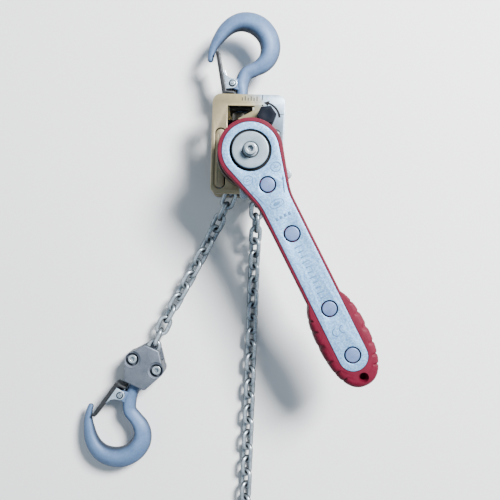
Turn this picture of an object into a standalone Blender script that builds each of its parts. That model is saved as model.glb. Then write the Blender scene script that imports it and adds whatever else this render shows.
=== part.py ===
"""A small lever chain hoist (come along winch), lying on its back on the ground.

The hoist's front faces up (+Z), its top hook points along +Y and its lever swings about Z. The lever drives
a three-pocket chain wheel directly through a screw brake. Sizes below are in millimetres, and every helper
turns them into metres.
"""

import math

import bmesh
import bpy
from mathutils import Vector

MM = 0.001
GAP = 0.3  # clearance that touching pieces keep

# Where the main shaft stands, so that the object without its chain is centred on the world's origin
SHAFT_X = 15.3
SHAFT_Y = 56.1

# Heights above the ground, from the back of the hoist to its front
REAR_COVER = (0.0, 5.7)
REAR_PLATE = (6.0, 9.0)
INSIDE = (9.3, 30.7)
FRONT_PLATE = (31.0, 34.0)
BRAKE_HUB = (34.4, 41.8)
REAR_FRICTION = (36.7, 37.9)
RATCHET = (38.2, 39.9)
FRONT_FRICTION = (40.2, 41.8)
BRAKE_COVER = (34.3, 44.1)
DRIVE_HUB = (42.1, 56.0)
BACK_PLATE = (44.4, 46.2)
GRIP_BODY = (46.5, 59.4)
FACE_PLATE = (56.6, 59.7)
RIVET_TOP = 60.2
RELEASE_DISC = (56.6, 61.6)
CHAIN_HEIGHT = 20.0  # the middle of the chain wheel
GROUND_CHAIN = 4.7  # the middle of a chain that lies on the ground

# Side plates, measured from the main shaft
PLATE_LEFT, PLATE_RIGHT = -25.5, 21.6
PLATE_BOTTOM, PLATE_TOP = -24.2, 40.7
BEARING_RADIUS = 8.0
WINDOW = ((-15.6, 33.0), (1.8, 33.0), (1.8, 30.8), (-8.6, 24.9), (-8.6, 17.0), (-15.6, 17.0))
BAR_WIDTH, BAR_LENGTH = 6.5, 38.7
LEFT_BAR_X, RIGHT_BAR_X, BAR_Y = -19.6, 15.6, -1.3
SHAFT_RADIUS = 4.6

# Chain: links of 3 mm wire with a pitch of 9 mm, drawn as a plain tube
LINK_PITCH, WIRE = 9.0, 3.0
POCKETS = 3
PITCH_RADIUS = 0.5 * math.hypot(LINK_PITCH / math.sin(math.pi / 2 / POCKETS),
                                WIRE / math.cos(math.pi / 2 / POCKETS))
CHAIN_RADIUS = 4.0
LOAD_SLOT_X, TAIL_SLOT_X = -11.2, 5.6
COIL_MEAN, COIL_WIDTH, COIL_HEIGHT = 46.0, 19.0, 9.0
COIL_Y = -305.0
TAIL_X = 3.4
STOP_RING_RADIUS, STOP_RING_WIRE = 8.5, 1.5
STOP_RING_PLACE, STOP_RING_HEIGHT = (3.2, -25.7), 3.0  # measured from the coil's middle

# Lever, which points along its own -Y
LEVER_TURN = 28.2
HEAD_RADIUS, FACE_HEAD_RADIUS = 20.0, 17.3
KNEE = 33.0
BODY_HALF, FACE_HALF = 10.7, 9.0
FACE_END = 139.3  # the middle of the face plate's round end
GRIP_MIDDLE, GRIP_LENGTH, GRIP_HALF = 127.0, 32.5, 16.2
GRIP_FULLNESS = 0.85  # 1 makes the grip an ellipse, and less makes it squarer
RIB_DEPTH, RIBS = 0.5, 7
HANGING_HOLE, HANGING_RADIUS, HANGING_DEPTH = 153.6, 2.0, 7.0
DISC_HOLE, DISC_RADIUS = 12.8, 11.1
RIVETS = (23.3, 56.4, 107.0, 138.3)
RIVET_HEAD, RIVET_RECESS, RIVET_SHANK = 4.4, 5.2, 2.2
LOBE_ANGLE, LOBE_DISTANCE, LOBE_RADIUS = 34.0, 26.0, 3.3
BOSS_TOP = 50.6

# Brake
COVER_RADIUS, COVER_WALL = 21.3, 1.0
DRIVE_FLANGE = 13.6
DISC_OUTER, HUB_RADIUS = 12.6, 6.5
RATCHET_TEETH, RATCHET_TIP, RATCHET_ROOT = 12, 15.2, 13.4
PAWL_PIVOT, PAWL_ANGLES = 17.8, (90.0, -90.0)
PAWL_HUB, PAWL_PIN = 2.2, 1.5
SELECTOR_X, SELECTOR_Y, SELECTOR_RADIUS = 9.6, 25.5, 6.2

# Hooks: the shank lies on the frame's +Y and the bowl's middle is at BOWL_X on its X axis
BOWL_X = -1.2
NECK = ((0.0, 30.0, 4.15), (-0.1, 24.0, 4.5), (2.4, 17.5, 4.55), (8.5, 14.0, 4.6), (13.1, 11.1, 5.3),
        (16.8, 6.5, 5.9))
BOWL = ((0, 19.5, 6.5), (22, 19.3, 6.8), (45, 18.9, 6.9), (67, 18.4, 6.6), (90, 17.8, 6.0), (112, 16.9, 5.3),
        (135, 16.2, 4.6), (160, 16.6, 3.7), (180, 18.7, 2.7), (195, 21.0, 2.0), (203, 22.4, 1.7))
LOAD_STRETCH = 2.0  # how much further out than the top hook's the load hook's back stands
HOOK_DEPTH = 0.88  # depth of the forging compared with its width
SHANK_RADIUS, NUT_RADIUS = 4.1, 6.0
LATCH_PIVOT = (-6.4, 25.2)
LATCH_HALF = 5.4
TOP_PIVOT, TRUNNION_RADIUS = (-7.0, 36.5), 3.5
TOP_HOOK_Y = 75.2
BLOCK_X, BLOCK_Y, BLOCK_TURN = -68.9, -142.6, -23.5
BLOCK_MIDDLE = 8.8
BLOCK_HALF = 8.6
BLOCK_BOTTOM = -13.4
LOAD_BOWL = -49.3
CHAIN_PIN, CHAIN_PIN_Y = 1.6, 10.0
BOLT_X, BOLT_Y = 9.0, 2.3
COUNTERBORE, COUNTERBORE_DEPTH, NUT_DEPTH = 4.4, 4.6, 3.4
BOLT_RADIUS, BOLT_HEAD, BOLT_HEAD_HEIGHT = 2.0, 3.0, 2.6
BLOCK_SOCKET = 1.5

COLOURS = {
    "zinc": ((0.72, 0.68, 0.58), 0.32, 1.0),
    "steel": ((0.55, 0.57, 0.6), 0.35, 1.0),
    "dark_steel": ((0.05, 0.05, 0.055), 0.5, 0.8),
    "aluminium": ((0.7, 0.73, 0.78), 0.4, 1.0),
    "red": ((0.45, 0.02, 0.04), 0.5, 0.0),
    "black": ((0.02, 0.02, 0.025), 0.45, 0.0),
    "hook_paint": ((0.35, 0.4, 0.5), 0.4, 0.6),
    "cast_grey": ((0.3, 0.31, 0.34), 0.6, 0.5),
    "friction": ((0.2, 0.14, 0.09), 0.9, 0.0),
}


# ---------------------------------------------------------------- helpers

def clear_scene():
    for obj in list(bpy.data.objects):
        bpy.data.objects.remove(obj)


def new_collection(name):
    made = bpy.data.collections.new(name)
    bpy.context.scene.collection.children.link(made)
    return made


def finish_of(name):
    """The Principled material of that name, made on first use."""
    made = bpy.data.materials.get(name)
    if made:
        return made
    colour, roughness, metallic = COLOURS[name]
    made = bpy.data.materials.new(name)
    made.use_nodes = True
    shader = made.node_tree.nodes["Principled BSDF"]
    shader.inputs["Base Color"].default_value = (*colour, 1.0)
    shader.inputs["Roughness"].default_value = roughness
    shader.inputs["Metallic"].default_value = metallic
    return made


def frame(name, x, y, z=0.0, turn=0.0, tip=0.0, parent=None):
    """An empty that pieces are built around, turned about Z and then tipped about its own X."""
    empty = bpy.data.objects.new(name, None)
    empty.empty_display_size = 10 * MM
    empty.location = (x * MM, y * MM, z * MM)
    empty.rotation_euler = (math.radians(tip), 0.0, math.radians(turn))
    empty.parent = parent
    HOIST.objects.link(empty)
    return empty


def add(obj, finish, parent):
    obj.parent = parent
    if finish is None:
        obj.hide_render = True
        obj.display_type = "WIRE"
        CUTTERS.objects.link(obj)
    else:
        obj.data.materials.append(finish_of(finish))
        HOIST.objects.link(obj)
    return obj


def plate(name, loops, heights, finish=None, parent=None):
    """A flat piece between two heights: the first loop is its outline and the others are its holes."""
    curve = bpy.data.curves.new(name, "CURVE")
    curve.dimensions = "2D"
    curve.fill_mode = "BOTH"
    curve.extrude = (heights[1] - heights[0]) / 2 * MM
    for loop in loops:
        spline = curve.splines.new("POLY")
        spline.points.add(len(loop) - 1)
        for point, (x, y) in zip(spline.points, loop):
            point.co = (x * MM, y * MM, 0.0, 1.0)
        spline.use_cyclic_u = True
    return from_curve(name, curve, sum(heights) / 2, finish, parent)


def from_curve(name, curve, height, finish, parent):
    """The curve's solid as a mesh with welded caps, lifted to a height."""
    drawn = bpy.data.objects.new(name, curve)
    bpy.context.scene.collection.objects.link(drawn)
    graph = bpy.context.evaluated_depsgraph_get()
    mesh = bpy.data.meshes.new_from_object(drawn.evaluated_get(graph))
    bpy.data.objects.remove(drawn)
    shape = bmesh.new()
    shape.from_mesh(mesh)
    bmesh.ops.remove_doubles(shape, verts=shape.verts, dist=1e-7)
    bmesh.ops.recalc_face_normals(shape, faces=shape.faces)
    bmesh.ops.translate(shape, verts=shape.verts, vec=(0.0, 0.0, height * MM))
    shape.to_mesh(mesh)
    shape.free()
    mesh.materials.clear()
    return add(bpy.data.objects.new(name, mesh), finish, parent)


def cylinder(name, radius, heights, x=0.0, y=0.0, finish=None, parent=None, sides=28):
    shape = bmesh.new()
    bmesh.ops.create_cone(shape, cap_ends=True, segments=sides, radius1=radius * MM, radius2=radius * MM,
                          depth=(heights[1] - heights[0]) * MM)
    bmesh.ops.translate(shape, verts=shape.verts, vec=(x * MM, y * MM, sum(heights) / 2 * MM))
    mesh = bpy.data.meshes.new(name)
    shape.to_mesh(mesh)
    shape.free()
    return add(bpy.data.objects.new(name, mesh), finish, parent)


def box(name, x_range, y_range, heights, finish=None, parent=None):
    shape = bmesh.new()
    bmesh.ops.create_cube(shape, size=1.0)
    ranges = (x_range, y_range, heights)
    bmesh.ops.scale(shape, verts=shape.verts, vec=[(high - low) * MM for low, high in ranges])
    bmesh.ops.translate(shape, verts=shape.verts, vec=[(low + high) / 2 * MM for low, high in ranges])
    mesh = bpy.data.meshes.new(name)
    shape.to_mesh(mesh)
    shape.free()
    return add(bpy.data.objects.new(name, mesh), finish, parent)


def turned(name, profile, finish=None, parent=None, steps=32, closed=False, along="Z"):
    """A turned piece: (radius, height) pairs from top to bottom, closed on itself for a ring."""
    mesh = bpy.data.meshes.new(name)
    corners = [(radius * MM, 0.0, height * MM) for radius, height in profile]
    edges = [(index, index + 1) for index in range(len(corners) - 1)]
    if closed:
        edges.append((len(corners) - 1, 0))
    mesh.from_pydata(corners, edges, [])
    obj = add(bpy.data.objects.new(name, mesh), finish, parent)
    screw = obj.modifiers.new("Turn", "SCREW")
    screw.axis = "Z"
    screw.steps = steps
    screw.render_steps = steps
    screw.use_merge_vertices = True
    screw.merge_threshold = 1e-5
    if along == "Y":
        obj.rotation_euler.x = math.radians(-90)
    return obj


def ring(name, inner, outer, heights, finish=None, parent=None, steps=32):
    low, high = heights
    profile = ((inner, high), (outer, high), (outer, low), (inner, low))
    return turned(name, profile, finish, parent, steps, closed=True)


def tube(name, points, radii, finish=None, parent=None, depth=1.0, resolution=2):
    """A bar along 3-D points, with a radius for each, flattened to a depth."""
    curve = bpy.data.curves.new(name, "CURVE")
    curve.dimensions = "3D"
    curve.bevel_depth = MM
    curve.bevel_resolution = resolution
    curve.use_fill_caps = True
    spline = curve.splines.new("POLY")
    spline.points.add(len(points) - 1)
    for point, place, radius in zip(spline.points, points, radii):
        point.co = (*(Vector(place) * MM), 1.0)
        point.radius = radius
    obj = from_curve(name, curve, 0.0, finish, parent)
    obj.scale.z = depth
    return obj


def boolean(obj, other, operation):
    modifier = obj.modifiers.new(operation.title(), "BOOLEAN")
    modifier.operation = operation
    modifier.solver = "EXACT"
    modifier.object = other


def cut(obj, *cutters):
    for cutter in cutters:
        boolean(obj, cutter, "DIFFERENCE")


def join(obj, *others):
    for other in others:
        boolean(obj, other, "UNION")


# ---------------------------------------------------------------- outlines

def arc(x, y, radius, start, end, steps=8):
    """Points on an arc, from one angle to another in degrees."""
    angles = [math.radians(start + (end - start) * step / steps) for step in range(steps + 1)]
    return [(x + radius * math.cos(angle), y + radius * math.sin(angle)) for angle in angles]


def circle(x, y, radius, steps=24):
    return arc(x, y, radius, 0, 360, steps)[:-1]


def slot(x, y, width, length, grow=0.0):
    """An upright slot with round ends."""
    radius = width / 2 + grow
    reach = (length - width) / 2
    return arc(x, y + reach, radius, 0, 180) + arc(x, y - reach, radius, 180, 360)


def plate_outline():
    top, bottom = 5.5, 4.5
    corners = arc(PLATE_RIGHT - top, PLATE_TOP - top, top, 0, 90, 5)
    corners += arc(PLATE_LEFT + top, PLATE_TOP - top, top, 90, 180, 5)
    corners += arc(PLATE_LEFT + bottom, PLATE_BOTTOM + bottom, bottom, 180, 270, 3)
    corners += arc(PLATE_RIGHT - bottom, PLATE_BOTTOM + bottom, bottom, 270, 360, 3)
    return corners


def smooth(points, steps):
    """Points on a smooth curve through the given points, of any dimension."""
    ends = [points[0], *points, points[-1]]
    made = []
    for before, start, end, after in zip(ends, ends[1:], ends[2:], ends[3:]):
        for step in range(steps):
            t = step / steps
            made.append(tuple(
                0.5 * (2 * b + (c - a) * t + (2 * a - 5 * b + 4 * c - d) * t ** 2
                       + (3 * b - a - 3 * c + d) * t ** 3)
                for a, b, c, d in zip(before, start, end, after)))
    made.append(tuple(points[-1]))
    return made


def head_arc(radius, half):
    """The round of the lever's head, between the two points where the straight sides leave it."""
    reach = math.hypot(half, KNEE)
    start = math.degrees(math.atan2(-KNEE, half) + math.acos(radius / reach))
    return arc(0, 0, radius, start, 180 - start, 26)


def face_outline(grow=0.0):
    half = FACE_HALF + grow
    sides = head_arc(FACE_HEAD_RADIUS + grow, half) + [(-half, -KNEE)]
    return sides + arc(0, -FACE_END, half, 180, 360, 12) + [(half, -KNEE)]


def fuller(share):
    return math.copysign(abs(share) ** GRIP_FULLNESS, share)


def grip_outline():
    """The red body: round head, straight bar and an oval grip with finger ribs."""
    start = math.asin((BODY_HALF / GRIP_HALF) ** (1 / GRIP_FULLNESS))
    steps = 8 * RIBS
    grip = []
    for step in range(steps + 1):
        share = step / steps
        angle = math.pi / 2 + start + (math.pi * 2 - 2 * start) * share
        ribbed = min(share, 1 - share) < 0.36
        rib = RIB_DEPTH * abs(math.sin(math.pi * 2.5 * RIBS * min(share, 1 - share))) if ribbed else 0.0
        swell = 1 - (RIB_DEPTH - rib) / GRIP_HALF
        grip.append((GRIP_HALF * fuller(math.cos(angle)) * swell,
                     -GRIP_MIDDLE + GRIP_LENGTH * fuller(math.sin(angle)) * swell))
    return head_arc(HEAD_RADIUS, BODY_HALF) + [(-BODY_HALF, -KNEE)] + grip + [(BODY_HALF, -KNEE)]


# ---------------------------------------------------------------- frame of the hoist

def side_plate(name, heights, blind):
    holes = [slot(LEFT_BAR_X, BAR_Y, BAR_WIDTH, BAR_LENGTH, GAP / 2),
             slot(RIGHT_BAR_X, BAR_Y, BAR_WIDTH, BAR_LENGTH, GAP / 2),
             circle(0, 0, BEARING_RADIUS + GAP)]
    if heights == FRONT_PLATE:
        holes.append(list(WINDOW))
        holes.append(circle(SELECTOR_X, SELECTOR_Y, 2.0 + GAP, 12))
        holes += [circle(*pawl_pivot(angle), PAWL_PIN + GAP, 12) for angle in PAWL_ANGLES]
    made = plate(name, [plate_outline(), *holes], heights, "zinc", MAIN)
    cut(made, cylinder(name + "_socket", TRUNNION_RADIUS + GAP, blind, *TOP_PIVOT, parent=MAIN, sides=20))
    return made


def side_bar(name, x, thin):
    """A bar whose round-ended tongues fill the slots of both plates. The right one is thinned on its
    inner side, beside the chain wheel."""
    bar = plate(name, [slot(x, BAR_Y, BAR_WIDTH, BAR_LENGTH, -GAP / 2)], (REAR_PLATE[0], FRONT_PLATE[1]),
                "zinc", MAIN)
    if thin:
        cut(bar, box(name + "_relief", (x - 5, x + thin), (BAR_Y - 25, BAR_Y + 25), INSIDE, parent=MAIN))
    return bar


def chain_guide():
    guide = box("chain_guide", (-16.0, 12.0), (-23.4, -16.6), INSIDE, "dark_steel", MAIN)
    room = 5.6
    heights = (CHAIN_HEIGHT - room, CHAIN_HEIGHT + room)
    for name, x in (("load_slot", LOAD_SLOT_X), ("tail_slot", TAIL_SLOT_X)):
        cut(guide, box(name, (x - room, x + room), (-26, -14), heights, parent=MAIN))
    return guide


def chain_stripper():
    """A tongue that stands in the wheel's groove and keeps the slack chain from wrapping on."""
    outline = ((-2.2, -16.2), (2.2, -16.2), (1.6, -6.4), (-1.6, -6.4))
    return plate("chain_stripper", [outline], (18.4, 21.6), "dark_steel", MAIN)


def bearings():
    ring("front_bearing", SHAFT_RADIUS + 1.2 + GAP, BEARING_RADIUS, (FRONT_PLATE[0], FRONT_PLATE[1]),
         "steel", MAIN)
    ring("rear_bearing", SHAFT_RADIUS + 1.2 + GAP, BEARING_RADIUS, REAR_PLATE, "steel", MAIN)


def rear_cover():
    outline = []
    for x, y, start in ((17, 17, 0), (-21, 17, 90), (-21, -19, 180), (17, -19, 270)):
        outline += arc(x, y, 4.0, start, start + 90, 4)
    cover = plate("rear_cover", [outline], REAR_COVER, "zinc", MAIN)
    cut(cover, cylinder("cover_pocket", 12.0, (2.0, 7.0), parent=MAIN))
    for index, (x, y) in enumerate(((16.0, 16.0), (-20.0, -18.0)), 1):
        cut(cover, cylinder(f"cover_hole_{index}", 2.9 + GAP, (-1, 7), x, y, parent=MAIN, sides=16))
        turned(f"cover_screw_{index}", ((0, 5.6), (1.5, 5.6), (1.5, 3.2), (2.9, 3.2), (2.9, 0.6), (0, 0.6)),
               "steel", frame(f"cover_screw_{index}_place", x, y, parent=MAIN), 16)


# ---------------------------------------------------------------- chain wheel and brake

def chain_wheel():
    """The wheel and its shaft in one piece, with a plain groove that clears the chain's tube."""
    waist = PITCH_RADIUS - CHAIN_RADIUS - GAP
    low, high = INSIDE
    groove = [(waist + (CHAIN_RADIUS + GAP) * (1 - math.sin(angle)),
               CHAIN_HEIGHT + (CHAIN_RADIUS + GAP) * math.cos(angle))
              for angle in [math.pi * step / 8 for step in range(9)]]
    rim = 13.4
    profile = [(0, RELEASE_DISC[1]), (SHAFT_RADIUS, RELEASE_DISC[1]), (SHAFT_RADIUS, FRONT_PLATE[1]),
               (SHAFT_RADIUS + 1.2, FRONT_PLATE[1]), (SHAFT_RADIUS + 1.2, high - GAP), (rim, high - GAP),
               (rim, CHAIN_HEIGHT + CHAIN_RADIUS + 1.4)]
    profile += groove
    profile += [(rim, CHAIN_HEIGHT - CHAIN_RADIUS - 1.4), (rim, low + GAP), (SHAFT_RADIUS + 1.2, low + GAP),
                (SHAFT_RADIUS + 1.2, 2.6), (0, 2.6)]
    turned("chain_wheel", profile, "steel", MAIN)


def toothed(tip, root, teeth, slope):
    """An outline of saw teeth: each rises over most of its pitch and drops straight back."""
    step = 360 / teeth
    points = []
    for tooth in range(teeth):
        start = tooth * step
        points += arc(0, 0, root, start, start + slope * step, 1)
        points += arc(0, 0, tip, start + 0.8 * step, start + 0.98 * step, 1)
    return points


def brake():
    bore = SHAFT_RADIUS + GAP
    low, high = BRAKE_HUB
    turned("brake_hub", ((bore, high), (HUB_RADIUS, high), (HUB_RADIUS, low + 2), (DISC_OUTER, low + 2),
                         (DISC_OUTER, low), (bore, low)), "steel", MAIN, closed=True)
    ring("rear_friction_disc", HUB_RADIUS + GAP, DISC_OUTER, REAR_FRICTION, "friction", MAIN)
    ring("front_friction_disc", HUB_RADIUS + GAP, DISC_OUTER, FRONT_FRICTION, "friction", MAIN)
    plate("ratchet_disc", [toothed(RATCHET_TIP, RATCHET_ROOT, RATCHET_TEETH, 0.25),
                           circle(0, 0, HUB_RADIUS + GAP)], RATCHET, "steel", MAIN)


def pawl_pivot(angle):
    place = math.radians(angle)
    return PAWL_PIVOT * math.cos(place), PAWL_PIVOT * math.sin(place)


def brake_pawls():
    """Two pawls opposite each other. Each one's arm runs along the ratchet disc's edge."""
    for index, angle in enumerate(PAWL_ANGLES, 1):
        x, y = pawl_pivot(angle)
        pivot = frame(f"brake_pawl_{index}_axis", x, y, turn=angle - 90, parent=MAIN)
        outline = arc(0, 0, PAWL_HUB, 60, 250, 8) + [(7.6, -3.4), (8.2, -1.4)]
        loops = [outline, circle(0, 0, PAWL_PIN + GAP, 12)]
        plate(f"brake_pawl_{index}", loops, (RATCHET[0] - 0.6, RATCHET[1]), "dark_steel", pivot)
        pin_heights = (FRONT_PLATE[0] + 0.2, FRONT_FRICTION[1] + 0.6)
        cylinder(f"brake_pawl_pin_{index}", PAWL_PIN, pin_heights, finish="steel", parent=pivot, sides=12)


def brake_cover():
    low, high = BRAKE_COVER
    outer, inner = COVER_RADIUS, COVER_RADIUS - COVER_WALL
    mouth = DRIVE_FLANGE + 0.8
    cover = turned("brake_cover", ((mouth, high), (outer - 1.0, high), (outer, high - 1.0), (outer, low),
                                   (inner, low), (inner, high - COVER_WALL), (mouth, high - COVER_WALL)),
                   "dark_steel", MAIN, 48, closed=True)
    cut(cover, cylinder("selector_room", SELECTOR_RADIUS + 0.6, (low - 1, high + 1), SELECTOR_X, SELECTOR_Y,
                        parent=MAIN))


def selector():
    pivot = frame("selector_axis", SELECTOR_X, SELECTOR_Y, turn=7.0, parent=MAIN)
    knob = plate("selector_knob", [circle(0, 0, SELECTOR_RADIUS, 6)], (FRONT_PLATE[1] + GAP, 43.6), "black",
                 pivot)
    join(knob, cylinder("selector_stem", 2.0, (FRONT_PLATE[0] - 2.0, FRONT_PLATE[1] + 2), parent=pivot,
                        sides=12))


def drive_hub():
    """The toothed hub that the lever's pawl turns, and that screws against the brake."""
    low, high = DRIVE_HUB
    bore = SHAFT_RADIUS + GAP
    hub = turned("drive_hub", ((bore, high), (8.0, high), (8.0, low + 1.6), (DRIVE_FLANGE, low + 1.6),
                               (DRIVE_FLANGE, low), (bore, low)), "steel", MAIN, closed=True)
    gear = plate("drive_teeth", [toothed(11.2, 9.6, 10, 0.25), circle(0, 0, 7.0)], (47.2, 53.6), parent=MAIN)
    join(hub, gear)


def release_disc():
    low, high = RELEASE_DISC
    bore = SHAFT_RADIUS + GAP
    turned("release_disc", ((bore, high), (DISC_RADIUS - 0.8, high), (DISC_RADIUS, high - 0.8),
                            (DISC_RADIUS, low), (bore, low)), "aluminium", MAIN, closed=True)
    top = RELEASE_DISC[1] + GAP
    bolt = turned("centre_bolt", ((0, top + 4.2), (3.2, top + 4.2), (3.6, top + 3.8), (3.6, top + 1.0),
                                  (6.2, top + 1.0), (6.2, top), (0, top)), "steel", MAIN, 28)
    cut(bolt, cylinder("bolt_socket", 1.8, (top + 2.0, top + 6.0), parent=MAIN, sides=6))


# ---------------------------------------------------------------- lever

def lever():
    face_plate()
    lever_body()
    back_plate()
    for index, along in enumerate(RIVETS, 1):
        head = FACE_PLATE[0] - GAP
        turned(f"lever_rivet_{index}", ((0, RIVET_TOP), (RIVET_HEAD - 0.6, RIVET_TOP),
                                        (RIVET_HEAD, RIVET_TOP - 0.5), (RIVET_HEAD, head + GAP * 2),
                                        (RIVET_SHANK, head + GAP * 2), (RIVET_SHANK, BACK_PLATE[0]),
                                        (0, BACK_PLATE[0])),
               "steel", frame(f"rivet_{index}_place", 0, -along, parent=LEVER), 24)
    drive_pawl()


def rivet_holes(radius):
    return [circle(0, -along, radius, 20) for along in RIVETS]


def face_plate():
    loops = [face_outline(), circle(0, 0, DISC_HOLE, 40), *rivet_holes(RIVET_RECESS)]
    plate("lever_face_plate", loops, FACE_PLATE, "aluminium", LEVER)


def lever_body():
    loops = [grip_outline(), circle(0, 0, 14.6, 40), *rivet_holes(RIVET_SHANK + GAP)]
    body = plate("lever_body", loops, GRIP_BODY, "red", LEVER)
    hanging_floor = GRIP_BODY[1] - HANGING_DEPTH
    cut(body, cylinder("hanging_recess", HANGING_RADIUS, (hanging_floor, GRIP_BODY[1] + 1), 0, -HANGING_HOLE,
                       parent=LEVER, sides=16))
    low, high = FACE_PLATE
    cut(body, plate("face_pocket", [face_outline(GAP)], (low - GAP, high + 1), parent=LEVER),
        box("pawl_room", (-7.2, 7.2), (-19.4, -10), (GRIP_BODY[0] - 1, 54.4), parent=LEVER))
    room = (GRIP_BODY[0] - 1, BOSS_TOP + GAP)
    for side in (1, -1):
        cut(body, cylinder(f"boss_room_{side + 1}", LOBE_RADIUS + GAP, room, *lobe_place(side), parent=LEVER,
                           sides=20))


def lobe_place(side):
    angle = math.radians(side * LOBE_ANGLE - 90)
    return LOBE_DISTANCE * math.cos(angle), LOBE_DISTANCE * math.sin(angle)


def back_plate():
    """The steel plate behind the lever, with two round lobes that carry the bosses."""
    half, length = 7.5, 146.0
    lobes = [arc(*lobe_place(side), LOBE_RADIUS, side * LOBE_ANGLE - 190, side * LOBE_ANGLE + 10, 8)
             for side in (1, -1)]
    head = arc(0, 0, 18.5, -40, 220, 24)
    end = arc(0, -length + half, half, 180, 360, 8)
    outline = head + lobes[1] + end + lobes[0]
    loops = [outline, circle(0, 0, 8.8, 24), *rivet_holes(RIVET_SHANK + GAP)]
    plate("lever_back_plate", loops, BACK_PLATE, "steel", LEVER)
    heights = (BACK_PLATE[1] + GAP, BOSS_TOP)
    for name, side in (("right_boss", 1), ("left_boss", -1)):
        cylinder(f"lever_{name}", LOBE_RADIUS - GAP, heights, *lobe_place(side), "steel", LEVER, 20)


def drive_pawl():
    pivot = frame("drive_pawl_axis", 3.6, -16.2, parent=LEVER)
    outline = arc(0, 0, 2.6, -150, 60, 8) + [(-3.4, 4.0), (-6.0, 3.4), (-6.6, 0.6)]
    heights = (47.0, 53.6)
    plate("drive_pawl", [outline, circle(0, 0, 1.2 + GAP, 12)], heights, "dark_steel", pivot)
    cylinder("drive_pawl_pin", 1.2, (BACK_PLATE[1] + GAP, 54.2), finish="steel", parent=pivot, sides=12)


# ---------------------------------------------------------------- hooks

def stretched(x, y, stretch):
    """x moved towards the hook's back, less and less up its shank and towards its point."""
    return x + stretch * min(1.0, (30.0 - y) / 8.0) * (x + 20.0) / 40.0


def hook(name, place, shank_end, stretch=0.0):
    """A forged hook in its own frame, with a lug that carries the latch."""
    line = list(NECK)
    for angle, distance, half in BOWL:
        turn = math.radians(angle)
        line.append((BOWL_X + distance * math.cos(turn), -distance * math.sin(turn), half))
    line = [(stretched(x, y, stretch), y, half) for x, y, half in line]
    line = [(0.0, shank_end, SHANK_RADIUS), *smooth(line, 2)]
    made = tube(name, [(x, y, 0) for x, y, half in line], [half for x, y, half in line], "hook_paint", place,
                HOOK_DEPTH, 3)
    x, y = LATCH_PIVOT
    lug = arc(x, y, 3.4, 90, 270, 8) + [(0, y - 3.4), (0, y + 3.4)]
    join(made, plate(name + "_lug", [lug], (-3.9, 3.9), parent=place))
    cut(made, cylinder(name + "_rivet_hole", 1.2 + GAP, (-9, 9), x, y, parent=place, sides=12))


def latch(name, place):
    """A bent sheet latch: two cheeks round the lug, a web that closes the hook's mouth, and a closed end."""
    pivot = frame(name + "_axis", *LATCH_PIVOT, parent=place)
    tip_x, tip_y = -11.8, -20.8
    outline = arc(0, 0, 3.2, -70, 90, 8)
    outline += [(-5.4, 6.6), (-6.6, 6.0), (tip_x, tip_y), (tip_x + 1.3, tip_y - 0.2)]
    outline += [(-8.6, -10.5), (-6.6, -8.0), (-5.0, -5.6)]
    made = plate(name, [outline, circle(0, 0, 1.2 + GAP, 12)], (-LATCH_HALF, LATCH_HALF), "steel", pivot)
    web = 1.2
    room = ((8, 5.0), (web - 6.0, 5.0), (tip_x + web + 0.3, tip_y - 2), (8, tip_y - 2))
    cut(made, plate(name + "_room", [room], (web - LATCH_HALF, LATCH_HALF - web), parent=pivot))
    half = LATCH_HALF + GAP
    rivet = ((0, half + 1.2), (1.8, half + 1.2), (2.4, half + 0.7), (2.4, half), (1.2, half), (1.2, -half),
             (2.4, -half), (2.4, -half - 0.7), (1.8, -half - 1.2), (0, -half - 1.2))
    turned(name + "_rivet", rivet, "steel", pivot, 16)


def top_hook():
    pivot = frame("top_pivot", *TOP_PIVOT, parent=MAIN)
    block = box("hook_crosshead", (-7.6, 7.6), (-4.8, 4.2), (INSIDE[0] + GAP, INSIDE[1] - GAP), "dark_steel",
                pivot)
    trunnions = (REAR_PLATE[0] + 1.4, FRONT_PLATE[1] - 1.4)
    join(block, cylinder("crosshead_trunnions", TRUNNION_RADIUS, trunnions, parent=pivot, sides=20))
    bore = turned("crosshead_bore", ((0, 12), (SHANK_RADIUS + GAP, 12), (SHANK_RADIUS + GAP, -12), (0, -12)),
                  parent=frame("bore_place", 0, 0, CHAIN_HEIGHT, parent=pivot), steps=20, along="Y")
    cut(block, bore)
    place = frame("top_hook_place", TOP_PIVOT[0], TOP_HOOK_Y, CHAIN_HEIGHT, tip=180, parent=MAIN)
    shank_end = TOP_HOOK_Y - TOP_PIVOT[1] + 11.0
    hook("top_hook", place, shank_end)
    latch("top_latch", place)
    collar("top_hook_nut", place, shank_end - 5.4, shank_end - 0.2)


def collar(name, place, low, high):
    """A nut on the end of a hook's shank, in the hook's own frame."""
    bore = SHANK_RADIUS + GAP
    nut = ((bore, high), (NUT_RADIUS, high), (NUT_RADIUS, low), (bore, low))
    obj = turned(name, nut, "dark_steel", place, 24, closed=True)
    obj.rotation_euler.x = math.radians(-90)


# ---------------------------------------------------------------- load block

def block_outline():
    right = [(5.0, 15.0)] + arc(BOLT_X, BOLT_Y, 5.0, 60, -30, 6) + [(7.6, BLOCK_BOTTOM)]
    return right + [(-x, y) for x, y in reversed(right)]


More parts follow.
